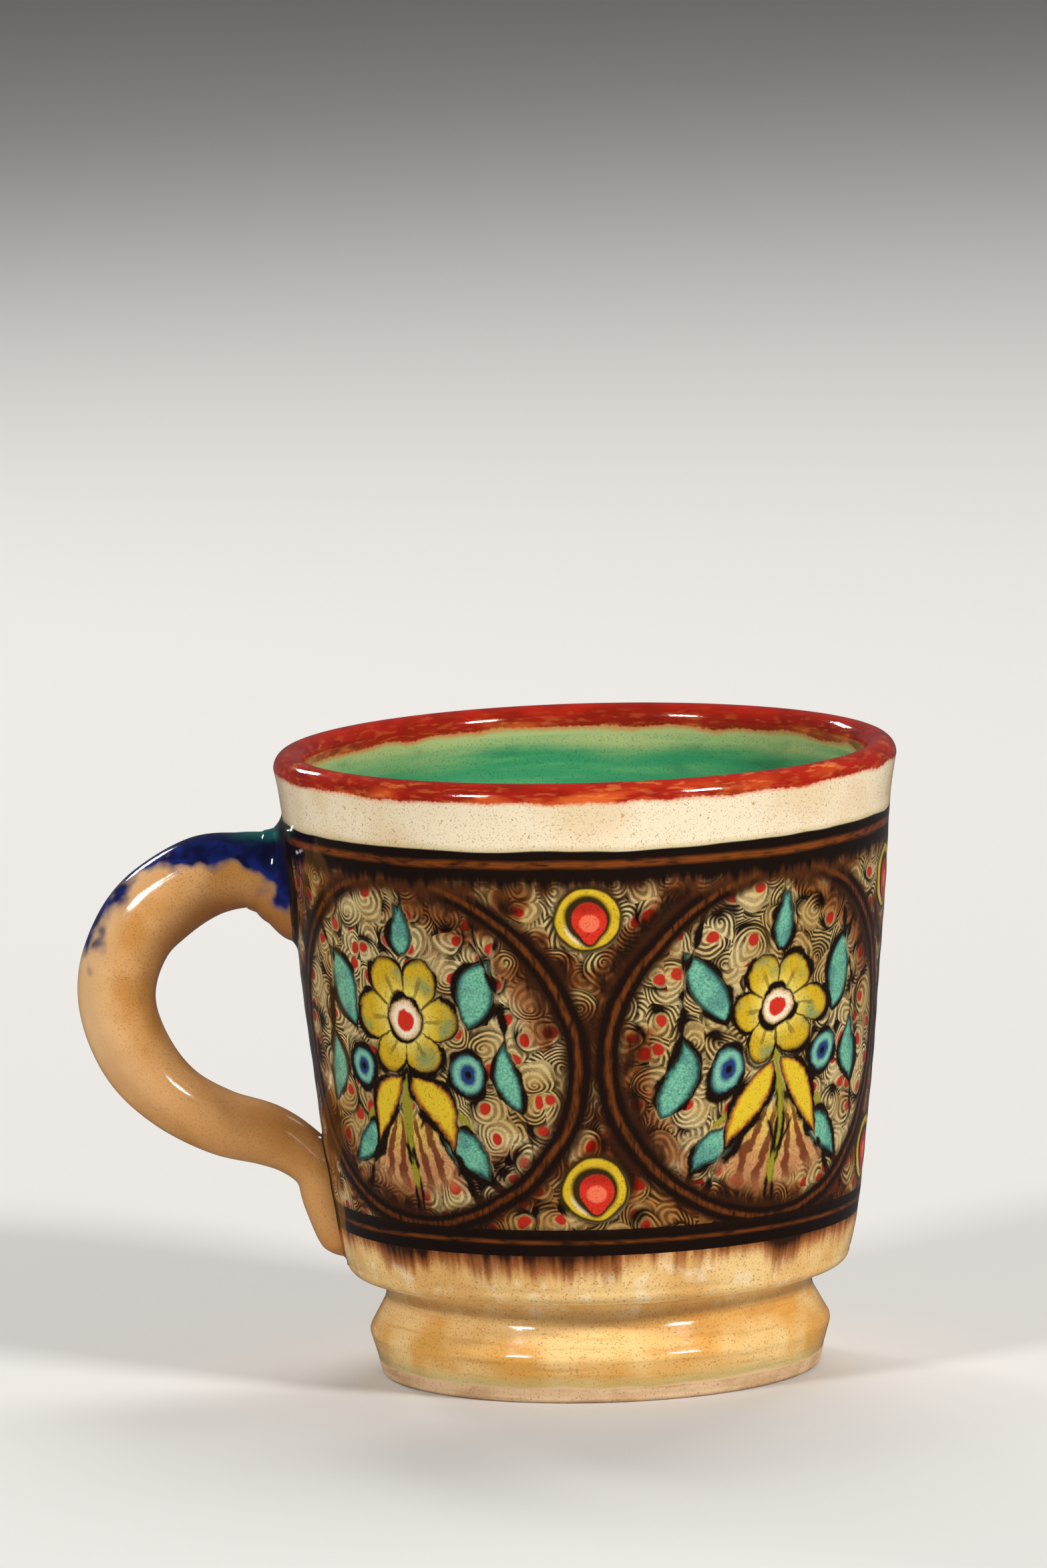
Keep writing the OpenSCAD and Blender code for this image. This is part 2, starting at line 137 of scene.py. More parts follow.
def shade(red, green, blue):
    """Scene colour of screen values from 0 to 255: (v + 0.055) / 1.055 to the power 2.4."""
    return tuple(((value / 255 + 0.055) / 1.055) ** 2.4 for value in (red, green, blue))


def tint(name, description, red, green, blue):
    """Colour setting with its default given as screen values."""
    return FloatVectorProperty(
        name=name, description=description, default=shade(red, green, blue), subtype="COLOR", min=0, max=1)


class MugColours(bpy.types.PropertyGroup):
    """Colours of the clay, the glazes and the paints."""

    clay: tint("Clay", "Bare fired clay", 226, 190, 148)
    cream: tint("Cream", "Slip under clear glaze", 241, 224, 192)
    tan: tint("Tan", "Clay of the handle under clear glaze", 218, 165, 106)
    honey: tint("Honey", "Glaze on the lower wall and the foot", 243, 205, 138)
    red: tint("Red", "Glaze of the lip", 162, 32, 16)
    orange: tint("Orange", "Where the red has worn thin", 222, 104, 44)
    green: tint("Green", "Glaze inside", 62, 150, 100)
    lime: tint("Lime", "Glaze inside where it runs thin below the lip", 180, 192, 126)
    teal: tint("Teal", "Glaze inside where it pools", 14, 108, 78)
    cobalt: tint("Cobalt", "Blue on the handle", 12, 16, 62)
    ink: tint("Ink", "Near-black brown of the brush lines", 24, 13, 8)
    olive: tint("Olive", "Fine strokes of the scrolls", 54, 40, 16)
    ground: tint("Ground", "Cream of the painted band", 216, 192, 138)
    rust: tint("Rust", "Thin lines inside the dark stripes", 140, 72, 24)
    smoke: tint("Smoke", "Brown wash at the frames", 112, 58, 22)
    yellow: tint("Yellow", "Rosettes and blossoms", 220, 186, 44)
    scarlet: tint("Scarlet", "Hearts and dots", 206, 48, 30)
    leaf: tint("Leaf", "Turquoise leaves", 124, 186, 156)
    blue: tint("Blue", "Buds", 34, 58, 112)


def measures():
    """Driving sizes with those worked out from them, in metres."""
    sizes, painting = bpy.context.scene.mug_sizes, bpy.context.scene.mug_painting
    m = SimpleNamespace(**{key: getattr(sizes, key) for key in MugSizes.__annotations__})
    for key in MugPainting.__annotations__:
        setattr(m, key, getattr(painting, key))
    m.band_radius = m.lip_radius - m.lip_flare
    m.foot_radius = m.band_radius - m.wall_taper
    m.waist_radius = m.foot_radius - m.waist_inset
    m.base_radius = m.ridge_radius - m.base_inset
    m.recess_radius = m.base_radius - m.foot_ring_width
    m.underside = m.waist_height + m.cove
    m.wall_start = m.underside + m.shoulder
    m.lip_height = m.height - m.lip_round
    m.ridge_height = m.waist_height - m.ridge_drop
    m.bare_height = low("foot_glaze").z
    m.band_bottom, m.field_bottom = low("lower_border").z, high("lower_border").z
    m.field_top, m.band_top = low("upper_border").z, high("upper_border").z
    m.red_outside, m.red_inside = high("slip_band").z, high("liner_glaze").z
    m.middle = (m.field_bottom + m.field_top) / 2
    m.half_field = (m.field_top - m.field_bottom) / 2
    m.frame_half_width = wall_radius(m, m.middle) * math.sin(m.pitch / 2) - m.gap / 2
    m.frame_half_height = m.half_field - m.margin + m.frame_width
    m.oval_half_width = m.frame_half_width - m.frame_width
    m.oval_half_height = m.half_field - m.margin
    return m


def swelling_radius(m, z):
    """Foot radius plus the taper times the share of the height up to the band's top, to the power 0.72."""
    share = np.maximum(z - m.wall_start, 0) / (m.band_top - m.wall_start)
    return m.foot_radius + m.wall_taper * share**SWELL


def lip_share(m, z):
    """Share of the way from the painted band up to the lip, squared."""
    return (np.maximum(z - m.band_top, 0) / (m.lip_height - m.band_top)) ** 2


def wall_radius(m, z):
    """Swelling radius plus what the lip still lacks, times the squared lip share."""
    return swelling_radius(m, z) + (m.lip_radius - swelling_radius(m, m.lip_height)) * lip_share(m, z)


def inner_radius(m, z):
    """Wall radius less the wall's thickness, which grows to twice the lip's round at the lip."""
    return wall_radius(m, z) - m.wall_thickness - (2 * m.lip_round - m.wall_thickness) * lip_share(m, z)


def arc(centre, radius, from_angle, to_angle, steps):
    """Centre plus radius times (cos, sin) of evenly spaced angles in degrees, without the first point."""
    angle = np.radians(np.linspace(from_angle, to_angle, steps + 1)[1:])
    return np.stack([centre[0] + radius * np.cos(angle), centre[1] + radius * np.sin(angle)], 1)


def line(start, end, steps):
    """Evenly spaced points from start to end, without the first."""
    share = np.linspace(0, 1, steps + 1)[1:, None]
    return np.asarray(start) * (1 - share) + np.asarray(end) * share


def wall_run(m, radius, from_z, to_z, steps):
    """Points (radius of the height, height) at evenly spaced heights, without the first."""
    z = np.linspace(from_z, to_z, steps + 1)[1:]
    return np.stack([radius(m, z), z], 1)


def skin_runs(m):
    """The glazed outline from the foot's bare edge over the lip to the middle of the floor, as named runs.

    The crest of the ridge and the hollow of the waist are circles. The slope between them is their common
    tangent: its angle is that of the line through their centres less acos(sum of radii / distance).
    """
    ridge = np.array([m.ridge_radius - m.ridge_round, m.ridge_height])
    cove = np.array([m.waist_radius + m.cove, m.waist_height])
    apart = cove - ridge
    slope = math.degrees(
        math.atan2(apart[1], apart[0]) - math.acos((m.ridge_round + m.cove) / np.linalg.norm(apart)))
    base_edge = np.array([m.base_radius, m.foot_edge])
    crest_start = -20
    ridge_start = arc(ridge, m.ridge_round, 0, crest_start, 1)[0]
    bare_share = (m.bare_height - m.foot_edge) / (ridge_start[1] - m.foot_edge)
    bare_edge = base_edge + (ridge_start - base_edge) * bare_share
    slope_end = arc(cove, m.cove, 0, 180 + slope, 1)[0]
    crest = arc(ridge, m.ridge_round, crest_start, slope, 14)
    shoulder_centre = [m.foot_radius - m.shoulder, m.wall_start]
    bowl = m.floor_height + m.bowl_round
    bowl_centre = [float(inner_radius(m, bowl)) - m.bowl_round, bowl]
    under = [m.foot_radius - m.shoulder, m.underside]
    cove_end = arc(cove, m.cove, 180, 90, 14)
    return {
        "foot": np.vstack([bare_edge[None], line(bare_edge, ridge_start, 8), crest,
                           line(crest[-1], slope_end, 12), arc(cove, m.cove, 180 + slope, 180, 8)]),
        "lower": np.vstack([cove_end, line(cove_end[-1], under, 4),
                            arc(shoulder_centre, m.shoulder, -90, 0, 12),
                            wall_run(m, wall_radius, m.wall_start, m.band_bottom, 14)]),
        "lower_border": wall_run(m, wall_radius, m.band_bottom, m.field_bottom, 6),
        "field": wall_run(m, wall_radius, m.field_bottom, m.field_top, 44),
        "upper_border": wall_run(m, wall_radius, m.field_top, m.band_top, 6),
        "slip": wall_run(m, wall_radius, m.band_top, m.red_outside, 14),
        "lip": np.vstack([wall_run(m, wall_radius, m.red_outside, m.lip_height, 2),
                          arc([m.lip_radius - m.lip_round, m.lip_height], m.lip_round, 0, 180, 28),
                          wall_run(m, inner_radius, m.lip_height, m.red_inside, 3)]),
        "liner": np.vstack([wall_run(m, inner_radius, m.red_inside, bowl, 64),
                            arc(bowl_centre, m.bowl_round, 0, -90, 18),
                            line([bowl_centre[0], m.floor_height], [0, m.floor_height], 24)]),
    }


def skin_outline(m):
    """All runs joined, with the unit normal at each point and the first and last index of each run."""
    runs = skin_runs(m)
    points = np.vstack(list(runs.values()))
    i = np.arange(len(points))
    along = points[np.minimum(i + 1, len(points) - 1)] - points[np.maximum(i - 1, 0)]
    normals = np.stack([along[:, 1], -along[:, 0]], 1) / np.linalg.norm(along, axis=1, keepdims=True)
    ends = np.cumsum([len(run) for run in runs.values()]) - 1
    starts = np.concatenate([[0], ends[:-1]])
    return points, normals, {name: (first, last) for name, first, last in zip(runs, starts, ends)}


def hand_marks(m, radius, z, azimuth):
    """How far the clay stands off its true outline, from the throwing hand.

    A spiral groove sin(turns of height + azimuth) and a slow wave of the height fade out at the lip and the
    foot, and cos(2 azimuth) makes the body a little oval. Each stays under an eighth of a millimetre.
    """
    groove_pitch, wave_length, wave_height, oval_height = 5.2 * MM, 23 * MM, 0.05 * MM, 0.06 * MM
    lip_fade, foot_fade = 8 * MM, 4 * MM
    inside = radius < inner_radius(m, np.clip(z, m.floor_height, m.lip_height)) + 0.3 * m.wall_thickness
    fade = np.clip((m.lip_height - z) / lip_fade, 0, 1) * np.clip((z - m.wall_start) / foot_fade, 0, 1)
    groove = np.sin(2 * math.pi * z / groove_pitch + azimuth) * np.where(inside, 0.07, 0.025) * MM
    slow = wave_height * np.sin(2 * math.pi * z / wave_length + 1.3 * np.sin(azimuth))
    oval = oval_height * (np.cos(2 * azimuth + 0.6) - 1)
    return fade * (groove + slow) + oval * np.clip(radius / m.foot_radius, 0, 1)


def around(m, points, normals, azimuth, depth=0.0):
    """Outline points turned to each azimuth: (radius sin a, -radius cos a, height).

    First hand_marks and depth move them along their normals. Rows follow the outline, columns the azimuth.
    """
    radius, z = points[:, :1], points[:, 1:]
    a = azimuth[None, :] if azimuth.ndim == 1 else azimuth
    offset = hand_marks(m, radius, z, a) - depth
    turned = radius + normals[:, :1] * offset
    lift = z + normals[:, 1:] * offset
    return np.stack([turned * np.sin(a), -turned * np.cos(a), lift + 0 * a], 2)


def grid_faces(rows, columns, close_rows, close_columns):
    """Corner indices of the quads of a grid, whose last row or column may join the first again."""
    i = np.arange(rows if close_rows else rows - 1)[:, None]
    j = np.arange(columns if close_columns else columns - 1)[None, :]
    near, far = i * columns, (i + 1) % rows * columns
    beside = (j + 1) % columns
    return np.stack([near + j, near + beside, far + beside, far + j], 2).reshape(-1, 4)


def volume(points, faces):
    """Six times the volume that faces shut in: the sum of a . (b x c) over their triangles."""
    total = 0.0
    for k in range(1, faces.shape[1] - 1):
        a, b, c = (points[faces[:, i]] for i in (0, k, k + 1))
        total += float((a * np.cross(b, c)).sum())
    return total


def shell(points, quads, quad_places, triangles=None, triangle_places=None):
    """Closed skin of points, faces and each corner's place on the bake map. Its faces turn outwards."""
    if triangles is None:
        triangles, triangle_places = np.zeros((0, 3), int), np.zeros((0, 3, 2))
    centred = points - points.mean(0)
    if volume(centred, quads) + volume(centred, triangles) < 0:
        quads, quad_places = quads[:, ::-1], quad_places[:, ::-1]
        triangles, triangle_places = triangles[:, ::-1], triangle_places[:, ::-1]
    return SimpleNamespace(points=points, quads=quads, quad_places=quad_places,
                           triangles=triangles, triangle_places=triangle_places)


def grid_places(down, across, strips=1):
    """Bake map of a grid's quads. down and across hold the place of each row and column line from 0 to 1.

    The columns are cut into strips of equal count, which lie above each other with a small gap, so that a
    long narrow band fills the square.
    """
    share = across * strips
    strip = np.minimum(np.floor((share[:-1] + share[1:]) / 2).astype(int), strips - 1)
    left, right = share[:-1] - strip, share[1:] - strip
    gap = 0.012
    shapes = []
    for u, v in ((left, down[:-1]), (right, down[:-1]), (right, down[1:]), (left, down[1:])):
        x = gap + (1 - 2 * gap) * u[None, :] + 0 * v[:, None]
        y = (strip[None, :] + gap + (1 - 2 * gap) * v[:, None]) / strips
        shapes.append(np.stack([x, y], 2).reshape(-1, 2))
    return np.stack(shapes, 1)


def down_places(grid, hidden_rows):
    """Place of each row line: the length run along the shown rows, then a sliver for the hidden ones."""
    hidden_share = 0.03
    steps = np.linalg.norm(np.diff(grid, axis=0), axis=2).max(1) + 1e-9
    shown = np.concatenate([[0], np.cumsum(steps) / steps.sum()]) * (1 - hidden_share)
    return np.concatenate([shown, np.linspace(1 - hidden_share, 1, hidden_rows + 1)[1:]])


def band_shell(outer, inner, close_columns, strips=1):
    """Closed skin between an outer and an inner grid of the same size.

    The rows of the outer grid run on into those of the inner one in reverse, so both form one band that
    closes on itself. Where the columns stay open, a last band closes each side.
    """
    rows, columns = outer.shape[:2]
    ring = np.concatenate([outer, inner[::-1]])
    quads = grid_faces(2 * rows, columns, True, close_columns)
    across = np.linspace(0, 1, columns + 1 if close_columns else columns)
    places = grid_places(down_places(outer, rows + 1), across, strips)
    if not close_columns:
        up = np.arange(rows - 1)
        down = 2 * rows - 1 - up
        first = np.stack([up, up + 1, down - 1, down], 1) * columns
        last = np.stack([down, down - 1, up + 1, up], 1) * columns + columns - 1
        quads = np.concatenate([quads, first, last])
        corner = np.array([[0, 0], [0, 1], [1, 1], [1, 0]]) * 0.01 + 0.985
        places = np.concatenate([places, np.tile(corner, (2 * (rows - 1), 1, 1))])
    return shell(ring.reshape(-1, 3), quads, places)


def pole_fans(columns, pole):
    """Triangles from the first ring to a pole, and from the last ring before it to the next pole."""
    j = np.arange(columns)
    beside, end = (j + 1) % columns, pole - columns
    return np.vstack([np.stack([np.full(columns, pole), beside, j], 1),
                      np.stack([np.full(columns, pole + 1), end + j, end + beside], 1)])


def capped_shell(grid, strips=1, hidden_rows=0):
    """Closed tube, bowl or disc from rings of points, with a pole in the middle of each end."""
    rows, columns = grid.shape[:2]
    points = np.vstack([grid.reshape(-1, 3), grid[0].mean(0)[None], grid[-1].mean(0)[None]])
    triangles = pole_fans(columns, rows * columns)
    down = down_places(grid[:rows - hidden_rows], hidden_rows)
    across = np.linspace(0, 1, columns + 1)
    places = grid_places(0.02 + 0.96 * down, across, strips)
    near = grid_places(np.array([0.0, 0.02]), across, strips)
    far = grid_places(np.array([0.98, 1.0]), across, strips)
    fans = np.vstack([near[:, [0, 2, 3]], far[:, [3, 0, 1]]])
    return shell(points, grid_faces(rows, columns, False, True), places, triangles, fans)


def disc_shell(outer, inner):
    """Closed disc from an outer and an inner polar grid.

    On the bake map the outer side fills a disc of radius 0.48, and the inner one the thin ring around it.
    """
    rows, columns = outer.shape[0] - 1, outer.shape[1]
    ring = np.concatenate([inner[1:], outer[1:][::-1]])
    points = np.vstack([ring.reshape(-1, 3), inner[:1, 0], outer[:1, 0]])
    triangles = pole_fans(columns, 2 * rows * columns)
    quads = grid_faces(2 * rows, columns, False, True)
    turn = np.linspace(0, 2 * math.pi, columns, endpoint=False)
    share = np.linspace(0, 1, rows + 1)[1:]
    reach = np.concatenate([np.linspace(0.499, 0.485, rows), share[::-1] * 0.48])[:, None]
    spot = np.stack([0.5 + reach * np.cos(turn), 0.5 + reach * np.sin(turn)], 2).reshape(-1, 2)
    spot = np.vstack([spot, [[0.5, 0.5]], [[0.5, 0.5]]])
    return shell(points, quads, spot[quads], triangles, spot[triangles])


def joined(name, shells, tiles):
    """One mesh of several closed skins, each with its own tile of the bake map."""
    points, quads, triangles, spots, count = [], [], [], [], 0
    for i, part in enumerate(shells):
        points.append(part.points)
        quads.append(part.quads + count)
        triangles.append(part.triangles + count)
        corner = np.array([i % tiles[0], i // tiles[0]])
        size = 1 / np.array(tiles)
        spots.append([(0.005 + 0.99 * places.reshape(-1, 2) + corner) * size
                      for places in (part.quad_places, part.triangle_places)])
        count += len(part.points)
    quads, triangles = np.vstack(quads), np.vstack(triangles)
    corners = np.concatenate([quads.ravel(), triangles.ravel()])
    sizes = np.concatenate([np.full(len(quads), 4), np.full(len(triangles), 3)])
    mesh = bpy.data.meshes.new(name)
    points = np.vstack(points)
    mesh.vertices.add(len(points))
    mesh.vertices.foreach_set("co", points.astype(np.float32).ravel())
    mesh.loops.add(len(corners))
    mesh.loops.foreach_set("vertex_index", corners.astype(np.int32))
    mesh.polygons.add(len(sizes))
    mesh.polygons.foreach_set("loop_start", (np.cumsum(sizes) - sizes).astype(np.int32))
    layer = mesh.uv_layers.new(name=BAKE_MAP)
    places = np.vstack([spot[0] for spot in spots] + [spot[1] for spot in spots])
    layer.data.foreach_set("uv", places.astype(np.float32).ravel())
    mesh.update(calc_edges=True)
    mesh.shade_smooth()
    mesh.set_sharp_from_angle(angle=math.radians(50))
    return mesh


def place(name, shells, material, slot, nodes, tiles=(1, 1)):
    """Puts a piece into the scene, which rides on the mug and stands for CAD nodes."""
    mesh = joined(name, shells, tiles)
    piece = bpy.data.objects.new(name, mesh)
    bpy.context.scene.collection.objects.link(piece)
    mesh.materials.append(material)
    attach(piece, "root")
    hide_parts(*nodes)
    return piece


def turned_azimuth():
    """Azimuths of the columns of a piece that runs all the way round, starting behind the handle."""
    return np.linspace(-math.pi / 2, 3 * math.pi / 2, AROUND, endpoint=False)


def coat_shell(m, run):
    """Coat along one run of the outline, turned all the way round."""
    points, normals, spans = skin_outline(m)
    part = slice(spans[run][0], spans[run][1] + 1)
    outer = around(m, points[part], normals[part], turned_azimuth())
    inner = around(m, points[part], normals[part], turned_azimuth(), m.coat)
    wide = 2 * math.pi * m.band_radius
    tall = np.linalg.norm(np.diff(points[part], axis=0), axis=1).sum()
    strips = min((1, 2, 3, 4, 6, 8, 9), key=lambda n: abs(math.log(wide / n / (tall * n))))
    return band_shell(outer, inner, True, strips)


def liner_shell(m):
    """The inner run turned round. Its outer side is laid one coat deeper in the clay."""
    points, normals, spans = skin_outline(m)
    part = slice(spans["liner"][0], spans["liner"][1])
    outer = around(m, points[part], normals[part], turned_azimuth())
    inner = around(m, points[part], normals[part], turned_azimuth(), m.coat)
    return capped_shell(np.concatenate([outer[::-1], inner]), 2, len(inner))


def foot_shell(m):
    """Ring that the mug stands on: closed profile of radius and height turned round.

    Up the hollow's wall, over the waist's plane, down inside the coat, and round both edges at the table.
    """
    points, normals, spans = skin_outline(m)
    part = slice(spans["foot"][0], spans["foot"][1] + 1)
    coated = points[part] - 0.5 * m.coat * normals[part]
    edge = m.foot_edge
    hollow_top = [m.recess_radius, m.waist_height]
    profile = np.vstack([
        [hollow_top], line(hollow_top, [m.recess_radius, edge], 12),
        arc([m.recess_radius + edge, edge], edge, 180, 270, 6),
        line([m.recess_radius + edge, 0], [m.base_radius - edge, 0], 8),
        arc([m.base_radius - edge, edge], edge, -90, 0, 6),
        line([m.base_radius, edge], points[part][0], 5), coated])
    azimuth = turned_azimuth()[None, :]
    z = profile[:, 1:]
    mark_depth, mark_pitch = 0.03 * MM, 0.9 * MM
    marks = mark_depth * np.sin(2 * math.pi * z / mark_pitch + azimuth) * (z > edge)
    radius = profile[:, :1] - marks
    grid = np.stack([radius * np.sin(azimuth), -radius * np.cos(azimuth), z + 0 * azimuth], 2)
    rows, columns = grid.shape[:2]
    places = grid_places(np.linspace(0, 1, rows + 1), np.linspace(0, 1, columns + 1), 2)
    return shell(grid.reshape(-1, 3), grid_faces(rows, columns, True, True), places)


def on_wall(m, azimuth, z, depth):
    """Places on the wall at each azimuth and height, sunk by depth below its marked skin."""
    radius, step = wall_radius(m, z), 0.1 * MM
    slope = (wall_radius(m, z + step) - wall_radius(m, z - step)) / (2 * step)
    length = np.sqrt(1 + slope**2)
    offset = hand_marks(m, radius, z, azimuth) - depth
    turned = radius + offset / length
    return np.stack([turned * np.sin(azimuth), -turned * np.cos(azimuth), z - slope * offset / length], -1)


def oval_grid(m, middle_angle, middle_z, half_width, half_height, columns):
    """Azimuths and heights of nested ovals on the wall, one for each row of half_width and half_height.

    At turn t the place is x = half_width cos t across and half_height sin t up, clipped to the field, and
    its azimuth is the middle angle plus asin(x / radius of the wall).
    """
    turn = np.linspace(0, 2 * math.pi, columns, endpoint=False)[None, :]
    up = np.clip(half_height[:, None] * np.sin(turn), m.field_bottom - middle_z, m.field_top - middle_z)
    z = middle_z + up
    return middle_angle + np.arcsin(half_width[:, None] * np.cos(turn) / wall_radius(m, z)), z


def oval_disc(m, middle_angle, middle_z, half_width, half_height, rows, columns, lift=0.0):
    """Disc on the wall bounded by an oval."""
    share = np.linspace(0, 1, rows)
    azimuth, z = oval_grid(m, middle_angle, middle_z, half_width * share, half_height * share, columns)
    return disc_shell(on_wall(m, azimuth, z, -lift), on_wall(m, azimuth, z, m.coat))


def frame_ring(m, middle_angle):
    """Ring on the wall between the oval of a roundel's field and the wider oval of its frame."""
    raised = 0.02 * MM
    share = np.linspace(0, 1, 9)
    width = m.oval_half_width + share * m.frame_width
    height = m.oval_half_height + share * m.frame_width
    azimuth, z = oval_grid(m, middle_angle, m.middle, width, height, 240)
    return band_shell(on_wall(m, azimuth, z, -raised), on_wall(m, azimuth, z, m.coat), True, 6)


def ground_panel(m, left_angle, right_angle, columns):
    """Panel of the band between the frames of two roundels.

    At each height its sides are the roundels' angles plus and less asin of the frame's half width there,
    drawn in by a little so that the frame laps over it.
    """
    lap = 0.35 * MM
    rise = m.half_field * np.sin(np.linspace(-math.pi / 2, math.pi / 2, 64))
    reach = (m.frame_half_width - lap) * np.sqrt(1 - (rise / (m.frame_half_height - lap)) ** 2)
    z = (m.middle + rise)[:, None]
    lean = np.arcsin(reach[:, None] / wall_radius(m, z))
    share = np.linspace(0, 1, columns)[None, :]
    azimuth = (left_angle + lean) * (1 - share) + (right_angle - lean) * share
    z = z + 0 * azimuth
    return band_shell(on_wall(m, azimuth, z, 0.0), on_wall(m, azimuth, z, m.coat), False)


def roundel_angle(m, i):
    """Azimuth of the middle of roundel i."""
    return (i - 0.5) * m.pitch


HANDLE_SHARES = np.array([
    [-0.100, 0.984, 1.70, 1.42],
    [0.00, 0.986, 1.56, 1.32],
    [0.075, 0.990, 1.24, 1.12],
    [0.15, 0.996, 1.01, 1.02],
    [0.25, 1.000, 0.91, 1.00],
    [0.46, 0.985, 1.03, 1.00],
    [0.69, 0.925, 1.03, 1.00],
    [0.86, 0.850, 1.00, 1.00],
    [0.98, 0.740, 0.98, 1.00],
    [1.00, 0.630, 0.95, 0.98],
    [0.92, 0.510, 0.90, 0.96],
    [0.76, 0.415, 0.85, 0.94],
    [0.535, 0.350, 0.80, 0.94],
    [0.30, 0.315, 0.76, 0.94],
    [0.15, 0.275, 0.67, 0.95],
    [0.045, 0.220, 0.63, 0.96],
    [0.010, 0.145, 0.66, 0.96],
    [-0.015, 0.070, 0.64, 0.92],
    [-0.035, 0.030, 0.54, 0.84],
    [-0.050, 0.000, 0.40, 0.70],
])
LAST = len(HANDLE_SHARES) - 1


def handle_rows(u):
    """Row of shares at each place u, counted in stations: the Catmull-Rom curve through the rows."""
    i = np.minimum(np.floor(u).astype(int), LAST - 1)
    f = (u - i)[:, None]
    a, b, c, d = (HANDLE_SHARES[np.clip(i + k, 0, LAST)] for k in (-1, 0, 1, 2))
    return (2 * b + (c - a) * f + (2 * a - 5 * b + 4 * c - d) * f**2 + (3 * b - a - 3 * c + d) * f**3) / 2


def handle_centre(m, u):
    """Centre line: height by share of the rise, distance out from the wall by share of the reach."""
    row = handle_rows(u)
    z = m.handle_tail + row[:, 1] * (m.handle_top - m.handle_tail)
    return np.stack([-wall_radius(m, z) - row[:, 0] * m.handle_out, z], 1)


def centre_direction(m, from_u, to_u):
    """Unit vectors along the centre line from one place to another."""
    along = handle_centre(m, to_u) - handle_centre(m, from_u)
    return along / np.linalg.norm(along, axis=1, keepdims=True)


def tail_closing(u):
    """Share of its size that a ring keeps: sqrt(1 - share^2), with the share of the last 1.6 stations."""
    run = 1.6
    return np.sqrt(np.maximum(1 - np.clip((u - LAST + run) / run, 0, 1) ** 2, 0.0004))


def handle_surface(m, u, turn, grow=0.0):
    """Oval rings square to the centre line: centre + normal thickness / 2 cos t + across width / 2 sin t.

    They close towards the tail and are a little uneven, by a hundredth or so.
    """
    step = 0.05
    along = centre_direction(m, np.maximum(u - step, 0), np.minimum(u + step, LAST))
    row, centre, close = handle_rows(u), handle_centre(m, u), tail_closing(u)
    turn = turn[None, :] if turn.ndim == 1 else turn
    uneven = 1 + 0.012 * np.sin(2.1 * u)[:, None] + 0.008 * np.sin(3.3 * u[:, None] + 2 * turn)
    rise = ((row[:, 2] * m.handle_thickness / 2 * close)[:, None] * uneven + grow) * np.cos(turn)
    across = ((row[:, 3] * m.handle_width / 2 * close)[:, None] * uneven + grow) * np.sin(turn)
    x = centre[:, :1] + along[:, 1:] * rise
    z = centre[:, 1:] - along[:, :1] * rise
    return np.stack([x, across, z], 2)


def handle_shell(m):
    """Handle from its root in the wall to its tail, as a closed tube."""
    u = np.linspace(0, LAST, 260)
    turn = np.linspace(math.pi, 3 * math.pi, 80, endpoint=False)
    return capped_shell(handle_surface(m, u, turn), 4)


def beside_handle(m, points, from_u, to_u):
    """How far points lie outside the handle, taken at the nearest place of the centre line.

    It is (rise / thick)^2 + (across / wide)^2 + (beyond / thick)^2 - 1, with half the thickness and width
    there, and with rise and beyond the parts of the offset square to the centre line and along it.
    """
    u = np.linspace(from_u, to_u, 160)
    row, centre = handle_rows(u), handle_centre(m, u)
    offset = points[..., None, [0, 2]] - centre
    nearest = np.argmin((offset**2).sum(-1), axis=-1)
    along = centre_direction(m, u - 0.02, u + 0.02)
    near = np.take_along_axis(offset, nearest[..., None, None], -2)[..., 0, :]
    close = tail_closing(u[nearest])
    thick = row[nearest, 2] * m.handle_thickness / 2 * close
    wide = row[nearest, 3] * m.handle_width / 2 * close
    beyond = (near * along[nearest]).sum(-1)
    rise = near[..., 0] * along[nearest, 1] - near[..., 1] * along[nearest, 0]
    return (rise / thick) ** 2 + (points[..., 1] / wide) ** 2 + (beyond / thick) ** 2 - 1


def joint_shell(m, middle_z, from_u, to_u, reach, height):
    """Fillet of clay around the foot of the handle on the wall.

    From a middle on the wall, rays run out in every direction, and halving finds where each leaves the
    handle. At distance e beyond that edge the skin stands height x ((far - e) / (far + lap))^2.4 off the
    wall, with far a little over the reach, so it runs up the handle and dies away on the wall.
    """
    turn = np.linspace(0, 2 * math.pi, 176, endpoint=False)

    def wall_point(away, depth=0.0):
        """Place on the wall away from the middle along each ray."""
        z = middle_z + away * np.sin(turn)
        side = away * np.cos(turn)
        return on_wall(m, -math.pi / 2 + side / wall_radius(m, z), z, depth)

    nearest, farthest, halvings = 0.001, 0.022, 24
    inner, outer = np.full(turn.shape, nearest), np.full(turn.shape, farthest)
    for _ in range(halvings):
        half = (inner + outer) / 2
        beyond = beside_handle(m, wall_point(half), from_u, to_u) > 0
        inner, outer = np.where(beyond, inner, half), np.where(beyond, half, outer)
    edge = (inner + outer) / 2
    soft = np.stack([np.roll(edge, k) for k in range(-4, 5)]).mean(0)
    lap, sunk = 1.1 * MM, 0.04 * MM
    far = reach * 1.2
    e = np.linspace(-lap, reach, 16)[:, None] * (1 + 0.18 * np.sin(3 * turn + 1) + 0.1 * np.sin(7 * turn))
    share = np.clip((far - e) / (far + lap), 0, 1)
    top = height * share**2.4 - sunk
    return band_shell(wall_point(soft + e, -top), wall_point(soft + e, COAT), True, 4)


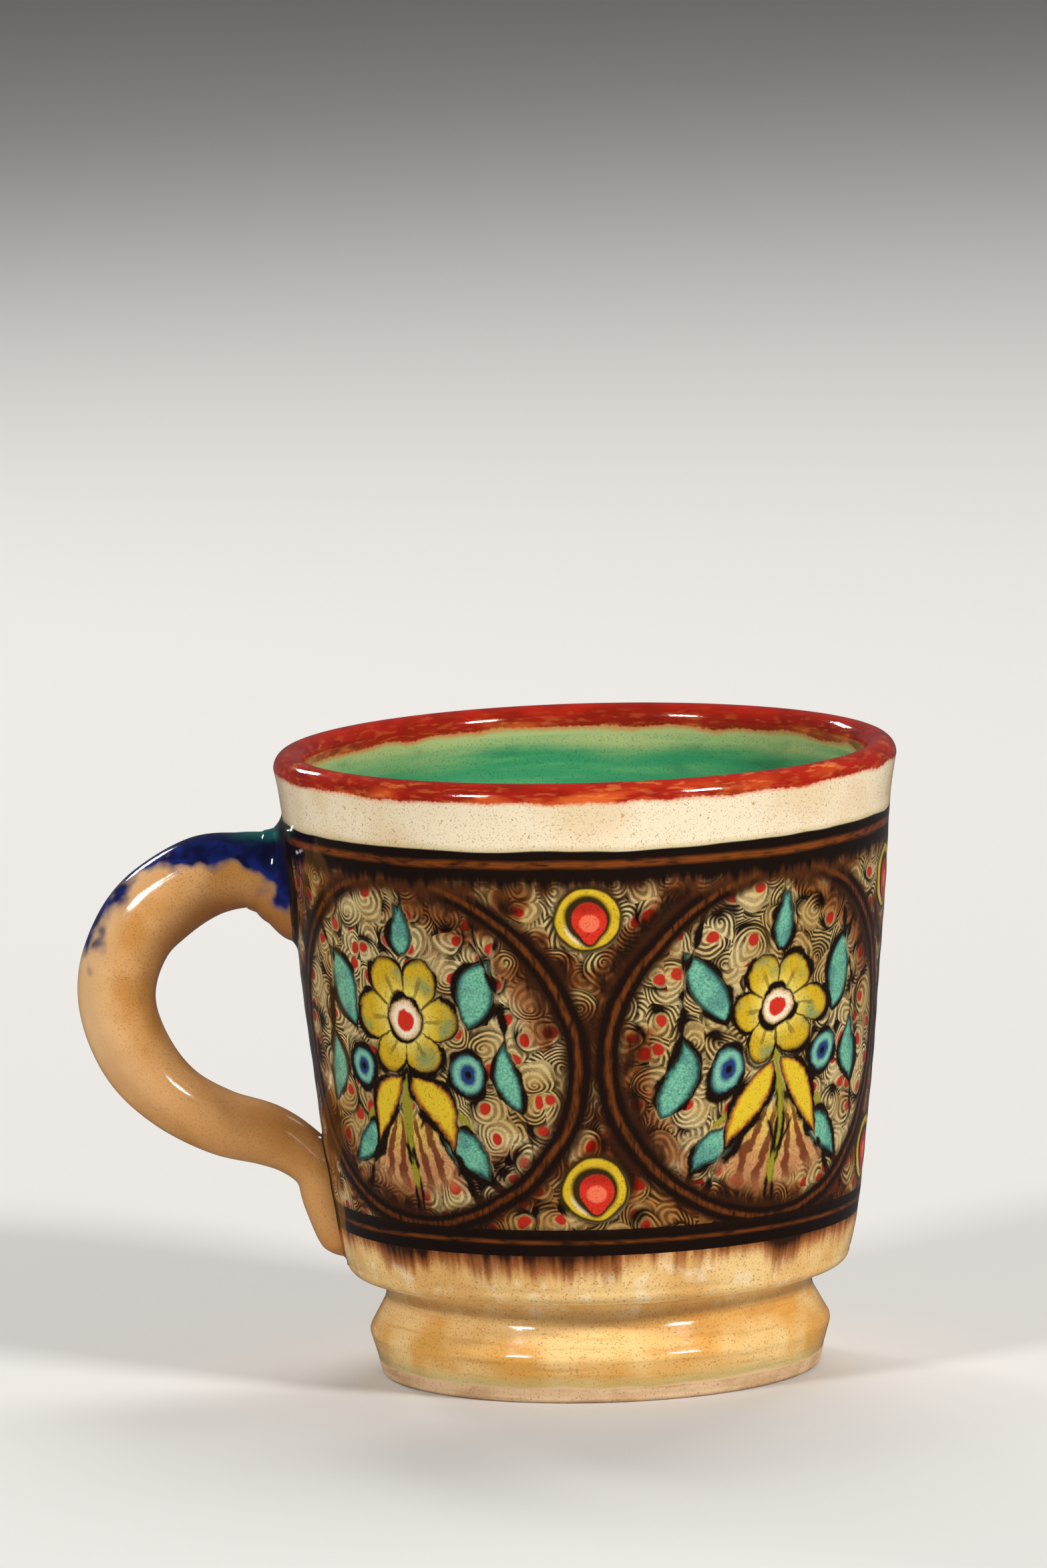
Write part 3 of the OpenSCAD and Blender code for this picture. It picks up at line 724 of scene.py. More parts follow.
def splash_shell(m):
    """Skin over the root and the top of the handle.

    Its edge sinks into the handle: grow falls from 0.06 mm in the middle to -0.12 mm at the edge, by the
    share of the way to the edge to the power 6.
    """
    rows, columns = 90, 48
    from_u, to_u = 0.9, 8.2
    root_turn, narrowing = 104, 34
    swell, edge_depth = 0.18, 0.12
    u = np.linspace(from_u, to_u, rows)
    along = np.linspace(-1, 1, rows)[:, None]
    side = np.linspace(-1, 1, columns)[None, :]
    half_turn = np.radians(root_turn - narrowing * np.clip((u - 1.2) / 5, 0, 1))[:, None]
    far = np.clip(1 - np.maximum(np.abs(along), np.abs(side)) ** 6, 0, 1)
    grow = (swell * far - edge_depth) * MM
    outer = handle_surface(m, u, half_turn * side, grow)
    inner = handle_surface(m, u, half_turn * side, -m.coat)
    return band_shell(outer, inner, False)


class Signal:
    """A number at each place of a surface, held by a node's output. Arithmetic on it adds Math nodes."""

    def __init__(self, paint, socket):
        self.paint, self.socket = paint, socket

    def __add__(self, other):
        return self.paint.math("ADD", self, other)

    def __sub__(self, other):
        return self.paint.math("SUBTRACT", self, other)

    def __rsub__(self, other):
        return self.paint.math("SUBTRACT", other, self)

    def __mul__(self, other):
        return self.paint.math("MULTIPLY", self, other)

    def __truediv__(self, other):
        return self.paint.math("DIVIDE", self, other)

    def __pow__(self, other):
        return self.paint.math("POWER", self, other)

    def __abs__(self):
        return self.paint.math("ABSOLUTE", self)


class Paint:
    """Node tree of one finish. Lengths in it are millimetres of Object coordinates."""

    def __init__(self, name):
        self.c = bpy.context.scene.mug_colours
        self.m = measures()
        self.material = bpy.data.materials.new(name)
        self.material.use_nodes = True
        self.tree = self.material.node_tree
        self.tree.nodes.clear()
        place = self.node("ShaderNodeVectorMath", operation="SCALE")
        self.tree.links.new(self.node("ShaderNodeTexCoord").outputs["Object"], place.inputs[0])
        place.inputs["Scale"].default_value = 1 / MM
        self.place = place.outputs[0]
        self.x, self.y, self.z = self.split(self.place)
        self.radius = self.away(self.x, self.y)

    def node(self, kind, **settings):
        """New node with its settings."""
        node = self.tree.nodes.new(kind)
        for key, value in settings.items():
            setattr(node, key, value)
        return node

    def feed(self, socket, value):
        """Links or sets an input."""
        if isinstance(value, Signal):
            value = value.socket
        if isinstance(value, bpy.types.NodeSocket):
            self.tree.links.new(value, socket)
        elif socket.type == "RGBA":
            socket.default_value = (*value, 1)
        else:
            socket.default_value = value

    def math(self, operation, *values):
        """Math node."""
        node = self.node("ShaderNodeMath", operation=operation)
        for socket, value in zip(node.inputs, values):
            self.feed(socket, value)
        return Signal(self, node.outputs[0])

    def split(self, vector):
        """Three parts of a vector."""
        node = self.node("ShaderNodeSeparateXYZ")
        self.feed(node.inputs[0], vector)
        return [Signal(self, output) for output in node.outputs]

    def vector(self, x, y, z=0.0):
        """Vector of three parts."""
        node = self.node("ShaderNodeCombineXYZ")
        for socket, value in zip(node.inputs, (x, y, z)):
            self.feed(socket, value)
        return node.outputs[0]

    def step(self, value, start, end):
        """Smooth rise from 0 at start to 1 at end. It falls where end is below start."""
        node = self.node("ShaderNodeMapRange", interpolation_type="SMOOTHSTEP")
        for socket, number in zip(node.inputs, (value, start, end)):
            self.feed(socket, number)
        return Signal(self, node.outputs[0])

    def stroke(self, value, at, half, soft):
        """1 within half of a place, and 0 beyond half + soft."""
        return self.step(abs(value - at), half + soft, half - soft)

    def away(self, x, z):
        """Distance of (x, z) from the middle: the root of x^2 + z^2."""
        return (x * x + z * z) ** 0.5

    def noise(self, size, detail=2.0, stretch=(1, 1, 1), seed=0.0, vector=None):
        """Noise with features about size mm wide, drawn out by stretch. It stays near 0.5."""
        node = self.node("ShaderNodeVectorMath", operation="MULTIPLY_ADD")
        self.feed(node.inputs[0], vector or self.place)
        node.inputs[1].default_value = [1 / (size * s) for s in stretch]
        node.inputs[2].default_value = (seed * 3.17, seed * 5.71, seed * 7.13)
        noise = self.node("ShaderNodeTexNoise")
        self.feed(noise.inputs["Vector"], node.outputs[0])
        noise.inputs["Scale"].default_value = 1.0
        noise.inputs["Detail"].default_value = detail
        return Signal(self, noise.outputs["Fac"])

    def mix(self, share, first, second, blend="MIX"):
        """Colour that goes from first to second as share goes from 0 to 1."""
        node = self.node("ShaderNodeMix", data_type="RGBA", blend_type=blend, clamp_factor=True)
        for index, value in ((0, share), (6, first), (7, second)):
            self.feed(node.inputs[index], value)
        return node.outputs[2]

    def patches(self, colour, tone, size, start, end, seed, strength=1.0, stretch=(1, 1, 1), detail=2):
        """Colour that turns to tone in patches, as noise of about size mm goes from start to end."""
        share = self.step(self.noise(size, detail, stretch, seed), start, end)
        return self.mix(share * strength if strength < 1 else share, colour, tone)

    def specks(self, colour, size, amount, dark, seed, strength):
        """Fine iron specks: dark where noise is above amount."""
        share = self.step(self.noise(size, 1.0, seed=seed), amount, amount + 0.07)
        return self.mix(share * strength, colour, dark)

    def finish(self, colour, gloss=0.1, bump=0.02, wear=0.1, index=1.46):
        """Glossy fired surface: roughness = gloss + wear x noise, and a skin that waves by bump mm."""
        rough = self.noise(6, 3, seed=41) * wear + (gloss - wear / 2)
        skin = self.noise(3.2, 2, seed=42) * bump + self.noise(0.45, 1, seed=43) * (bump * 0.16)
        shader = self.node("ShaderNodeBsdfPrincipled")
        raised = self.node("ShaderNodeBump")
        raised.inputs["Distance"].default_value = MM
        self.feed(raised.inputs["Height"], skin)
        self.feed(shader.inputs["Base Color"], colour)
        self.feed(shader.inputs["Roughness"], rough)
        self.feed(shader.inputs["Normal"], raised.outputs[0])
        shader.inputs["IOR"].default_value = index
        output = self.node("ShaderNodeOutputMaterial")
        self.feed(output.inputs["Surface"], shader.outputs[0])
        return self.material


# Leaves of the spray: middle, angle, length and half width, in millimetres and degrees.
LEAVES = (
    ((12.6, 9.4), 62, 5.8, 2.5),
    ((16.6, -3.4), 98, 5.2, 2.1),
    ((9.6, -14.6), -38, 5.0, 2.2),
    ((0.0, 18.4), 90, 4.4, 2.1),
)
CALYX = ((4.6, -8.6), -58, 6.4, 2.3)


class Band(Paint):
    """Paint with the places of the painted band.

    along is the way round in mm, across and up start at the middle of the nearest roundel, and ring is how
    far a place lies outside the oval of the roundel's field.
    """

    def __init__(self, name):
        super().__init__(name)
        m = self.m
        azimuth = self.math("ARCTAN2", self.y, self.x) + math.pi / 2
        self.azimuth = azimuth
        mean_radius = 42.0
        self.along = azimuth * mean_radius
        local = self.math("FLOORED_MODULO", azimuth, m.pitch) - m.pitch / 2
        self.across = self.radius * self.math("SINE", local)
        self.up = self.z - m.middle / MM
        high_mm = m.oval_half_height / MM
        wide = self.across / (m.oval_half_width / MM)
        tall = self.up / high_mm
        self.ring = (self.away(wide, tall) - 1) * high_mm
        self.flat = self.vector(self.along, self.z)

    def streaks(self, size, seed):
        """Brush streaks that run up and down the wall."""
        return self.noise(size, 2, (1, 9, 1), seed, vector=self.flat)

    def curls(self, colour, tone, size, seed, cover_all):
        """One layer of curls drawn with a split brush.

        Each cell of a net of random points holds one curl. Its strokes are the waves of
        sin(2 pi f / pitch + whirl), with f = reach + 0.35 lean, reach the distance from the point, lean its
        part along a random direction and whirl the turn about the point. They darken towards the leaning
        side. A layer that doesn't cover all ends in a dark rim where f passes 2.25 to 3.15 mm.
        """
        c, pitch = self.c, 0.74
        warped = self.vector(self.along + self.noise(4, 0, seed=seed + 1) * 1.6,
                             self.z + self.noise(4, 0, seed=seed + 2) * 1.6)
        cell = self.node("ShaderNodeTexVoronoi", voronoi_dimensions="2D", feature="F1")
        self.feed(cell.inputs["Vector"], warped)
        cell.inputs["Scale"].default_value = 1 / size
        cell.inputs["Randomness"].default_value = 0.9
        offset = self.node("ShaderNodeVectorMath", operation="SUBTRACT")
        self.feed(offset.inputs[0], warped)
        self.feed(offset.inputs[1], cell.outputs["Position"])
        dx, dy, _ = self.split(offset.outputs[0])
        first, second, third = self.split(cell.outputs["Color"])
        turn = first * (2 * math.pi)
        cosine, sine = self.math("COSINE", turn), self.math("SINE", turn)
        reach = self.away(dx, dy)
        lean = dx * cosine + dy * sine
        f = reach + lean * 0.35
        side = self.step(lean / (reach + 0.4), -0.8, 0.9)
        whirl = self.math("ARCTAN2", dy, dx)
        wave = self.math("SINE", f * (2 * math.pi / pitch) + whirl + self.noise(2.2, 1, seed=seed) * 6)
        weight = self.step(self.noise(5, 2, seed=seed + 3) + side * 0.4, 0.32, 0.8)
        ink = self.step(wave, -0.8, 0.55) * (weight * 0.66 + 0.32)
        drawn = self.mix(ink, tone, c.olive)
        blob_x, blob_y = dx - cosine * 1.6, dy - sine * 1.6
        blob = self.step(self.away(blob_x, blob_y), 2.3, 0.7) * self.step(third, 0.54, 0.4)
        drawn = self.mix(blob, drawn, c.ink)
        dot_x, dot_y = dx - (second - 0.5) * 1.3, dy - (third - 0.5) * 1.3
        dot = (dot_x * dot_x * 0.9 + dot_y * dot_y) ** 0.5
        dot = dot + self.noise(1.4, 1, seed=seed + 7) * 0.4 + 0.1
        here = self.step(second, 0.34, 0.4)
        drawn = self.mix(self.step(dot, 1.7, 1.4) * here * 0.5, drawn, tone)
        drawn = self.mix(self.step(dot, 1.3, 1.05) * here, drawn, shade(178, 44, 28))
        if cover_all:
            return drawn
        edge = f - third * 0.9 - 2.25
        colour = self.mix(self.step(edge, 1.1, 0.0) * (side * 0.5 + 0.3), colour, c.ink)
        colour = self.mix(self.step(edge, 0.1, -0.1), colour, drawn)
        return self.mix(self.stroke(edge, 0.0, 0.12, 0.22) * (side * 0.65 + 0.25), colour, c.ink)

    def scrolls(self, seed=0.0):
        """Two layers of curls on a cream ground with warm patches."""
        tone = self.patches(self.c.ground, shade(192, 160, 98), 16, 0.35, 0.62, seed + 5)
        tone = self.patches(tone, shade(164, 106, 48), 8, 0.52, 0.7, seed + 6, 0.55)
        colour = self.curls(tone, tone, 4.6, seed + 8, True)
        return self.curls(colour, tone, 6.0, seed, False)

    def smoke_wash(self, colour, slant):
        """Brown wash at the frames in brush streaks, which thins again in the middle of a gap.

        With a slant it is thickest at the upper right and the lower left of a field.
        """
        near = self.step(self.ring, -8.0, 0.5) * (1.0 - self.step(self.ring, 3.5, 7.5) * 0.5)
        patch = self.step(self.noise(9, 2, seed=11) + self.across * self.up * slant, 0.42, 0.6)
        streak = self.noise(1.1, 2, (1, 1, 4), 12) * 0.7 + 0.5
        share = near * patch * streak
        colour = self.mix(self.step(share, 0.04, 0.5) * 0.85, colour, shade(176, 104, 52), "MULTIPLY")
        colour = self.mix(self.step(share, 0.4, 0.8) * 0.3, colour, self.c.smoke)
        return self.mix(self.step(share, 0.48, 0.82) * 0.92, colour, self.c.ink)

    def frame_lines(self, colour):
        """Dark ring with a rust line in it, soft at both edges. There is none behind the handle."""
        wobble = self.noise(8, 2, seed=15) * 1.0 + self.noise(1.2, 1, seed=16) * 0.3 - 0.65
        t = self.ring - self.m.frame_width / MM / 2 + wobble
        grain = self.noise(0.5, 2, (1, 1, 5), seed=17)
        real = self.step(self.azimuth, 4.27, 4.2) * self.step(self.azimuth, -1.5, -1.42)
        colour = self.mix(self.step(abs(t), 2.9, 1.4) * real * 0.8, colour, shade(64, 32, 14))
        colour = self.mix(self.step(abs(t), 2.1, 1.0) * real * 0.95, colour, self.c.ink)
        rust = self.stroke(t, -0.05, 0.26, 0.42) * self.step(grain, 0.2, 0.65) * real
        colour = self.mix(rust * 0.8, colour, self.c.rust)
        return self.mix(self.stroke(t, -0.05, 0.05, 0.1) * real * 0.55, colour, self.c.ink)

    def borders(self, colour):
        """Dark stripes above and below the field, each with a rust line, that fade into it in strokes."""
        m, z = self.m, self.z + (self.noise(14, 1, seed=21) - 0.5) * 0.7
        run = self.streaks(0.8, 22)
        top, bottom = m.field_top / MM, m.field_bottom / MM
        fade = z + run * 3.4 + self.streaks(2.4, 26) * 2.0
        colour = self.mix(self.step(fade, top - 1.0, top + 2.0) * 0.7, colour, shade(96, 52, 22))
        colour = self.mix(self.step(fade, top + 0.8, top + 3.0), colour, self.c.ink)
        colour = self.mix(self.step(z - run * 2.6, bottom - 0.4, bottom - 2.4), colour, self.c.ink)
        grain = self.noise(0.45, 2, (5, 5, 1), seed=23) * 0.8 + self.noise(6, 1, seed=24) * 0.6
        line = self.stroke(z, top + 2.4, 0.44, 0.42) + self.stroke(z, bottom - 1.9, 0.22, 0.3) * 0.8
        colour = self.mix(line * self.step(grain, 0.35, 0.85) * 0.85, colour, self.c.rust)
        return self.mix(self.stroke(z, top + 2.4, 0.06, 0.12) * 0.4, colour, self.c.ink)

    def rosettes(self, colour):
        """Yellow discs with a dark outline and a red drop, in the gaps between two roundels.

        The drop's radius is 2.62 mm + cos^12 of the turn from straight down. A cream crescent on each disc
        and an orange spot low in each drop are painted highlights.
        """
        m, c = self.m, self.c
        local = self.math("FLOORED_MODULO", self.azimuth + m.pitch / 2, m.pitch) - m.pitch / 2
        gx = self.radius * self.math("SINE", local)
        gz = self.up - self.math("SIGN", self.up) * ((m.half_field - m.rosette_inset) / MM)
        reach = self.away(gx, gz)
        uneven = (self.noise(3.5, 1, seed=31) - 0.5) * 0.9
        rim = reach + uneven + (gx - gz) * 0.05
        real = self.step(self.azimuth, 3.6, 3.4) * self.step(self.azimuth, -0.9, -0.7)
        colour = self.mix(self.step(rim, 5.8, 4.6) * real, colour, c.olive)
        tone = self.mix(self.noise(2.2, 2, seed=32), c.yellow, shade(196, 156, 30))
        colour = self.mix(self.step(rim, 4.7, 4.3) * real, colour, tone)
        # Painted highlight: a cream crescent on the lower left of each yellow disc.
        pale = self.step(gx + gz + reach * 0.9, -0.6, -1.6) * self.stroke(reach, 3.5, 0.35, 0.3)
        colour = self.mix(pale * 0.7, colour, c.cream)
        point = self.math("MAXIMUM", gz * -1.0 / (reach + 0.01), 0.0) ** 12.0
        heart = point * 1.0 + 2.62 - reach + uneven * 0.5
        colour = self.mix(self.step(heart + (gz - gx) * 0.08, -1.15, -0.4) * real, colour, c.olive)
        colour = self.mix(self.step(heart, -0.1, 0.2) * real, colour, c.scarlet)
        deep = self.step(heart, -0.1, 0.3) * self.step(gz, 0.4, 1.9)
        colour = self.mix(deep * 0.45, colour, shade(120, 22, 14))
        # Painted highlight: an orange spot a little below the middle of each red drop.
        low_gz = gz + 0.45
        drop_highlight_reach = (gx * gx * 0.8 + low_gz * low_gz) ** 0.5
        return self.mix(self.step(drop_highlight_reach, 1.5, 1.1) * real * 0.85, colour, shade(240, 118, 84))

    def form(self, colour, inside, fill, deep, line=0.22):
        """Fills a form where inside is above 0, deeper at its edge, and outlines it with a brush line."""
        colour = self.mix(self.step(inside, -0.7, -0.1) * 0.85, colour, self.c.ground)
        pool = self.mix(self.step(inside, 1.0, 0.1), fill, deep)
        colour = self.mix(self.step(inside, -0.08, 0.1), colour, pool)
        press = self.step(self.noise(4.5, 1, seed=58), 0.35, 0.62)
        half = press * 0.42 + (line - 0.14)
        brush = self.step(abs(inside + press * 0.3 + 0.1), half + 0.38, half - 0.16)
        return self.mix(brush, colour, self.c.ink)

    def leaf(self, across, up, centre, angle, length, width):
        """How far inside a leaf a place lies: width (1 - t^2)(1 - 0.4 t) - |v|, with t the share along."""
        c, s = math.cos(math.radians(angle)), math.sin(math.radians(angle))
        dx, dz = across - centre[0], up - centre[1]
        t = self.math("MINIMUM", self.math("MAXIMUM", (dx * c + dz * s) / length, -1.1), 1.1)
        bow = (t * t - 0.4) * (width * 0.35)
        return (1 - t * t) * (1 - t * 0.4) * width - abs(dz * c - dx * s + bow)

    def blossom(self, colour):
        """Blossom spray, the same on both sides but for the sway of the hand."""
        c = self.c
        flower_up, fan_down, bud_out, bud_down = 5.2, 4.0, 9.6, 3.0
        tremble = (self.noise(1.3, 1, seed=55) - 0.5) * 0.55 + (self.noise(0.45, 1, seed=56) - 0.5) * 0.3
        x = abs(self.across + (self.noise(13, 0, seed=51) - 0.5) * 4.0) + tremble
        z = self.up + (self.noise(12, 0, seed=52) - 0.5) * 4.0 + tremble
        fine = self.noise(0.35, 2, seed=53)
        feather = self.math("ARCTAN2", x, z * -1.0 - fan_down)
        span = (x * x + (z + fan_down) * (z + fan_down)) ** 0.5
        fan = self.step(feather, 0.98, 0.8) * self.step(span, 5.0, 7.5) * self.step(span, 18.5, 14.0)
        lash = self.step(self.math("SINE", feather * 30 + self.noise(3, 1, seed=54) * 5), -0.35, 0.5)
        plume = self.mix(self.step(span, 7.0, 14.0), shade(226, 186, 74), shade(204, 142, 92))
        colour = self.mix(fan * 0.8, colour, plume)
        colour = self.mix(fan * lash * 0.9, colour, shade(104, 42, 22))
        stem = self.stroke(x, 0.0, 0.85, 0.25) * self.step(z, 3.0, 1.0) * self.step(z, -20.5, -19.5)
        twig = self.stroke(z + x * x * 0.055 - x * 0.2, -7.5, 0.6, 0.3) * self.step(x, 10.5, 9.5)
        colour = self.mix(self.math("MAXIMUM", stem, twig), colour, shade(150, 140, 40))
        for shape in LEAVES:
            inside = self.leaf(x, z, *shape)
            fill = self.mix(self.step(fine, 0.35, 0.65), c.leaf, shade(88, 156, 130))
            fill = self.patches(fill, shade(24, 70, 96), 3.5, 0.45, 0.7, 60, 0.42, detail=1)
            colour = self.form(colour, inside, fill, shade(30, 84, 78))
        colour = self.form(colour, self.leaf(x, z, *CALYX), c.yellow, shade(176, 96, 30))
        fx, fz = x, z - flower_up
        reach = self.away(fx, fz)
        turn = self.math("ARCTAN2", fz, fx)
        petal = abs(self.math("COSINE", turn * 3.0))
        flower = petal ** 0.6 * 3.4 + 5.4 - reach
        tone = self.mix(self.step(reach, 2.6, 6.5), shade(232, 208, 96), shade(204, 166, 34))
        cool = self.step(self.noise(5, 2, seed=57), 0.46, 0.66) * self.step(reach, 3.0, 6.5)
        tone = self.mix(cool * 0.75, tone, shade(98, 138, 96))
        tone = self.patches(tone, shade(150, 112, 30), 0.6, 0.5, 0.75, 59, 0.3, (1, 1, 3))
        colour = self.form(colour, flower, tone, shade(150, 112, 20), 0.26)
        swash = self.stroke(flower, -0.75, 0.35, 0.35) * self.step(fz * -1.0 - fx * 0.5, 0.0, 3.0)
        colour = self.mix(swash * 0.9, colour, c.ink)
        rib = self.step(petal, 0.22, 0.05) * self.step(reach, 2.6, 3.4) * self.step(flower, -0.1, 0.2)
        vein = self.step(petal, 0.97, 0.995) * self.step(reach, 3.0, 3.6) * self.step(reach, 6.6, 5.4)
        colour = self.mix(self.math("MAXIMUM", rib, vein * 0.6) * 0.85, colour, c.olive)
        colour = self.form(colour, 2.9 - reach, c.cream, shade(212, 170, 112), 0.26)
        colour = self.mix(self.step(reach, 1.7, 1.3), colour, c.scarlet)
        bx, bz = x - bud_out, z + bud_down
        bud = (bx * bx + bz * bz * 0.8) ** 0.5
        colour = self.form(colour, 2.9 - bud, c.leaf, shade(50, 104, 110), 0.26)
        colour = self.mix(self.step(bud, 1.9, 1.0), colour, c.blue)
        return self.mix(self.step(bud, 0.75, 0.4), colour, c.ink)

    def fringe(self, colour):
        """Brown strokes that hang from the lower stripe."""
        bottom = self.m.band_bottom / MM
        drop = self.streaks(2.0, 61) * 4.6 + self.streaks(0.7, 63) * 1.6
        hang = self.z + (drop + self.noise(10, 1, seed=62) * 6.0 - 6.1)
        wash = self.step(hang, bottom - 3.6, bottom - 0.8)
        colour = self.mix(wash * 0.8, colour, shade(168, 96, 50), "MULTIPLY")
        colour = self.mix(self.step(hang, bottom - 2.2, bottom + 0.2) * 0.8, colour, self.c.smoke)
        return self.mix(self.step(hang, bottom - 0.9, bottom + 1.0) * 0.92, colour, self.c.ink)

    def neck_edge(self, colour):
        """The slip's uneven lower edge over the dark stripe."""
        at = (self.noise(11, 1, seed=65) - 0.5) * 0.8 + self.m.band_top / MM
        above = self.z - at
        colour = self.mix(self.step(above, 1.1, 0.2) * 0.4, colour, shade(172, 150, 66))
        return self.mix(self.step(above, 0.22, -0.06), colour, self.c.ink)

    def lip_edge(self, colour):
        """Red of the lip over what lies below it, with an uneven edge and worn orange patches."""
        m = self.m
        crown = (m.lip_radius - m.lip_round) / MM
        inside = self.step(self.radius, crown + 0.3, crown - 0.3)
        at = inside * ((m.red_inside - m.red_outside) / MM + 0.55) + m.red_outside / MM
        t = self.z - at + (self.noise(8, 1, seed=66) - 0.5) * (inside * 0.7 + 1.3)
        worn = self.step(self.noise(7, 3, (2, 2, 0.6), 67), 0.5, 0.66)
        grain = self.noise(0.5, 2, (5, 5, 1), 68)
        tone = self.patches(self.c.red, shade(128, 24, 10), 2.4, 0.4, 0.68, 69, 0.75, (3, 3, 1))
        thin = self.step(grain, 0.5, 0.66) * self.step(t, 3.6, 1.6)
        tone = self.mix(thin * (worn * 0.6 + 0.24), tone, shade(224, 124, 62))
        tone = self.mix(worn * self.step(t, 2.6, 0.4) * 0.75, tone, self.c.orange)
        t = t + (self.noise(0.6, 2, seed=70) - 0.5) * 0.7
        colour = self.mix(self.step(t, -0.5, 0.2) * 0.6, colour, self.c.orange)
        return self.mix(self.step(t - inside * 0.25, -0.05, 0.35), colour, tone)


def scroll_ground():
    """Scrolls between the roundels, with smoke at the frames, an amber wash low down and the rosettes."""
    p = Band("painted_scrolls")
    low_wash = p.step(p.up, 0.0, -13.0) * p.step(p.noise(7, 2, seed=75), 0.3, 0.6)
    colour = p.mix(low_wash * 0.75, p.scrolls(), shade(196, 130, 62), "MULTIPLY")
    colour = p.smoke_wash(colour, 0.0)
    colour = p.rosettes(p.borders(p.frame_lines(colour)))
    return p.finish(p.specks(colour, 0.3, 0.62, p.c.ink, 71, 0.35), index=PAINT_INDEX)


def frame_paint():
    """Near-black brush ring with its rust line."""
    p = Band("dark_frame_brushwork")
    base = p.patches(p.c.ink, shade(58, 30, 12), 1.2, 0.4, 0.6, 9)
    return p.finish(p.borders(p.frame_lines(base)), index=PAINT_INDEX)


def field_paint():
    """Scrolls inside a roundel with the blossom spray over them."""
    p = Band("painted_blossom_fields")
    colour = p.blossom(p.smoke_wash(p.scrolls(4.0), 0.0005))
    colour = p.borders(p.frame_lines(colour))
    return p.finish(p.specks(colour, 0.3, 0.6, p.c.olive, 72, 0.4), index=PAINT_INDEX)


def rosette_paint(name):
    """Yellow and red of the rosettes."""
    p = Band(name)
    colour = p.rosettes(p.mix(p.noise(2), p.c.ground, p.c.olive))
    return p.finish(p.specks(colour, 0.3, 0.6, p.c.ink, 73, 0.45), index=PAINT_INDEX)


def stripe_paint(name, top):
    """Dark stripe with its rust line. The top one shows the slip above its uneven edge."""
    p = Band(name)
    colour = p.borders(p.mix(p.streaks(1.4, 25), p.c.ink, shade(46, 26, 12)))
    if top:
        edge = p.m.band_top / MM
        above = p.z - (p.noise(11, 1, seed=65) - 0.5) * 0.8
        colour = p.mix(p.step(above, edge - 0.06, edge + 0.22), colour, p.c.cream)
    return p.finish(colour, index=PAINT_INDEX)


def slip_finish():
    """Cream slip with iron specks and a few amber spots under clear glaze."""
    p = Band("speckled_cream_slip")
    colour = p.patches(p.c.cream, shade(232, 208, 168), 13, 0.42, 0.66, 1)
    colour = p.specks(colour, 0.24, 0.6, shade(158, 106, 58), 2, 0.5)
    colour = p.specks(colour, 0.4, 0.7, shade(88, 50, 24), 3, 0.7)
    colour = p.specks(colour, 1.3, 0.72, shade(206, 146, 70), 5, 0.8)
    colour = p.lip_edge(p.neck_edge(colour))
    return p.finish(colour, 0.1, 0.03)


def lip_finish():
    """Brushed red of the lip."""
    p = Band("brushed_red_lip")
    crown = (p.m.lip_radius - p.m.lip_round) / MM
    inner = p.step(p.radius, crown + 0.3, crown - 0.3)
    return p.finish(p.lip_edge(p.mix(inner, p.c.cream, p.c.lime)), 0.09, 0.04)


def liner_finish():
    """Copper green that runs thin and lime below the lip and pools darker towards the floor."""
    p = Band("green_liner_glaze")
    c = p.c
    rings = p.noise(2.0, 3, (14, 14, 1), 6)
    z = p.z + (rings - 0.5) * 6 + (p.noise(18, 2, seed=7) - 0.5) * 5
    colour = p.mix(p.step(z, 89.8, 84.0), c.lime, c.green)
    colour = p.mix(p.step(z, 80, 62) * 0.8, colour, c.teal)
    colour = p.patches(colour, shade(124, 190, 116), 1.4, 0.45, 0.75, 8, 0.35, (12, 12, 1))
    colour = p.patches(colour, c.teal, 4, 0.56, 0.74, 10, 0.5, (3, 3, 1))
    colour = p.specks(colour, 0.26, 0.6, shade(30, 90, 62), 9, 0.42)
    return p.finish(p.lip_edge(colour), 0.08, 0.05)


def lower_finish():
    """Honey glaze of the lower wall with the brown fringe."""
    p = Band("honey_glaze_with_brown_fringe")
    underside = p.m.underside / MM
    colour = p.patches(p.c.honey, shade(228, 178, 108), 9, 0.35, 0.65, 1)
    colour = p.patches(colour, shade(250, 232, 196), 3.4, 0.54, 0.72, 4, 0.5)
    colour = p.specks(colour, 0.3, 0.6, shade(150, 96, 44), 2, 0.55)
    # Painted shade: the underside of the wall above the foot is darkened brown.
    below = p.step(p.z, underside + 0.2, underside - 2.6)
    colour = p.mix(below * 0.3, colour, shade(190, 124, 56))
    return p.finish(p.fringe(colour), 0.1, 0.03)


def foot_finish():
    """Amber glaze of the foot, wiped off along its bottom edge."""
    p = Band("amber_foot_glaze")
    c = p.c
    bare, waist = p.m.bare_height / MM, p.m.waist_height / MM
    colour = p.patches(c.honey, shade(224, 166, 84), 11, 0.35, 0.65, 1)
    colour = p.patches(colour, shade(196, 134, 62), 0.8, 0.5, 0.72, 4, 0.4, (16, 16, 1))
    colour = p.specks(colour, 0.3, 0.6, shade(160, 104, 48), 2, 0.55)
    edge = p.z + (p.noise(8, 2, seed=5) - 0.5) * 1.4
    colour = p.mix(p.step(edge, bare + 2.6, bare + 0.6) * 0.5, colour, shade(178, 176, 120))
    # Painted shade: the foot is darkened just under the waist, beneath the wall's overhang.
    colour = p.mix(p.step(p.z, waist - 3, waist) * 0.22, colour, shade(196, 132, 62))
    colour = p.mix(p.step(edge, bare + 0.5, bare + 0.1), colour, c.clay)
    return p.finish(colour, 0.11, 0.04)


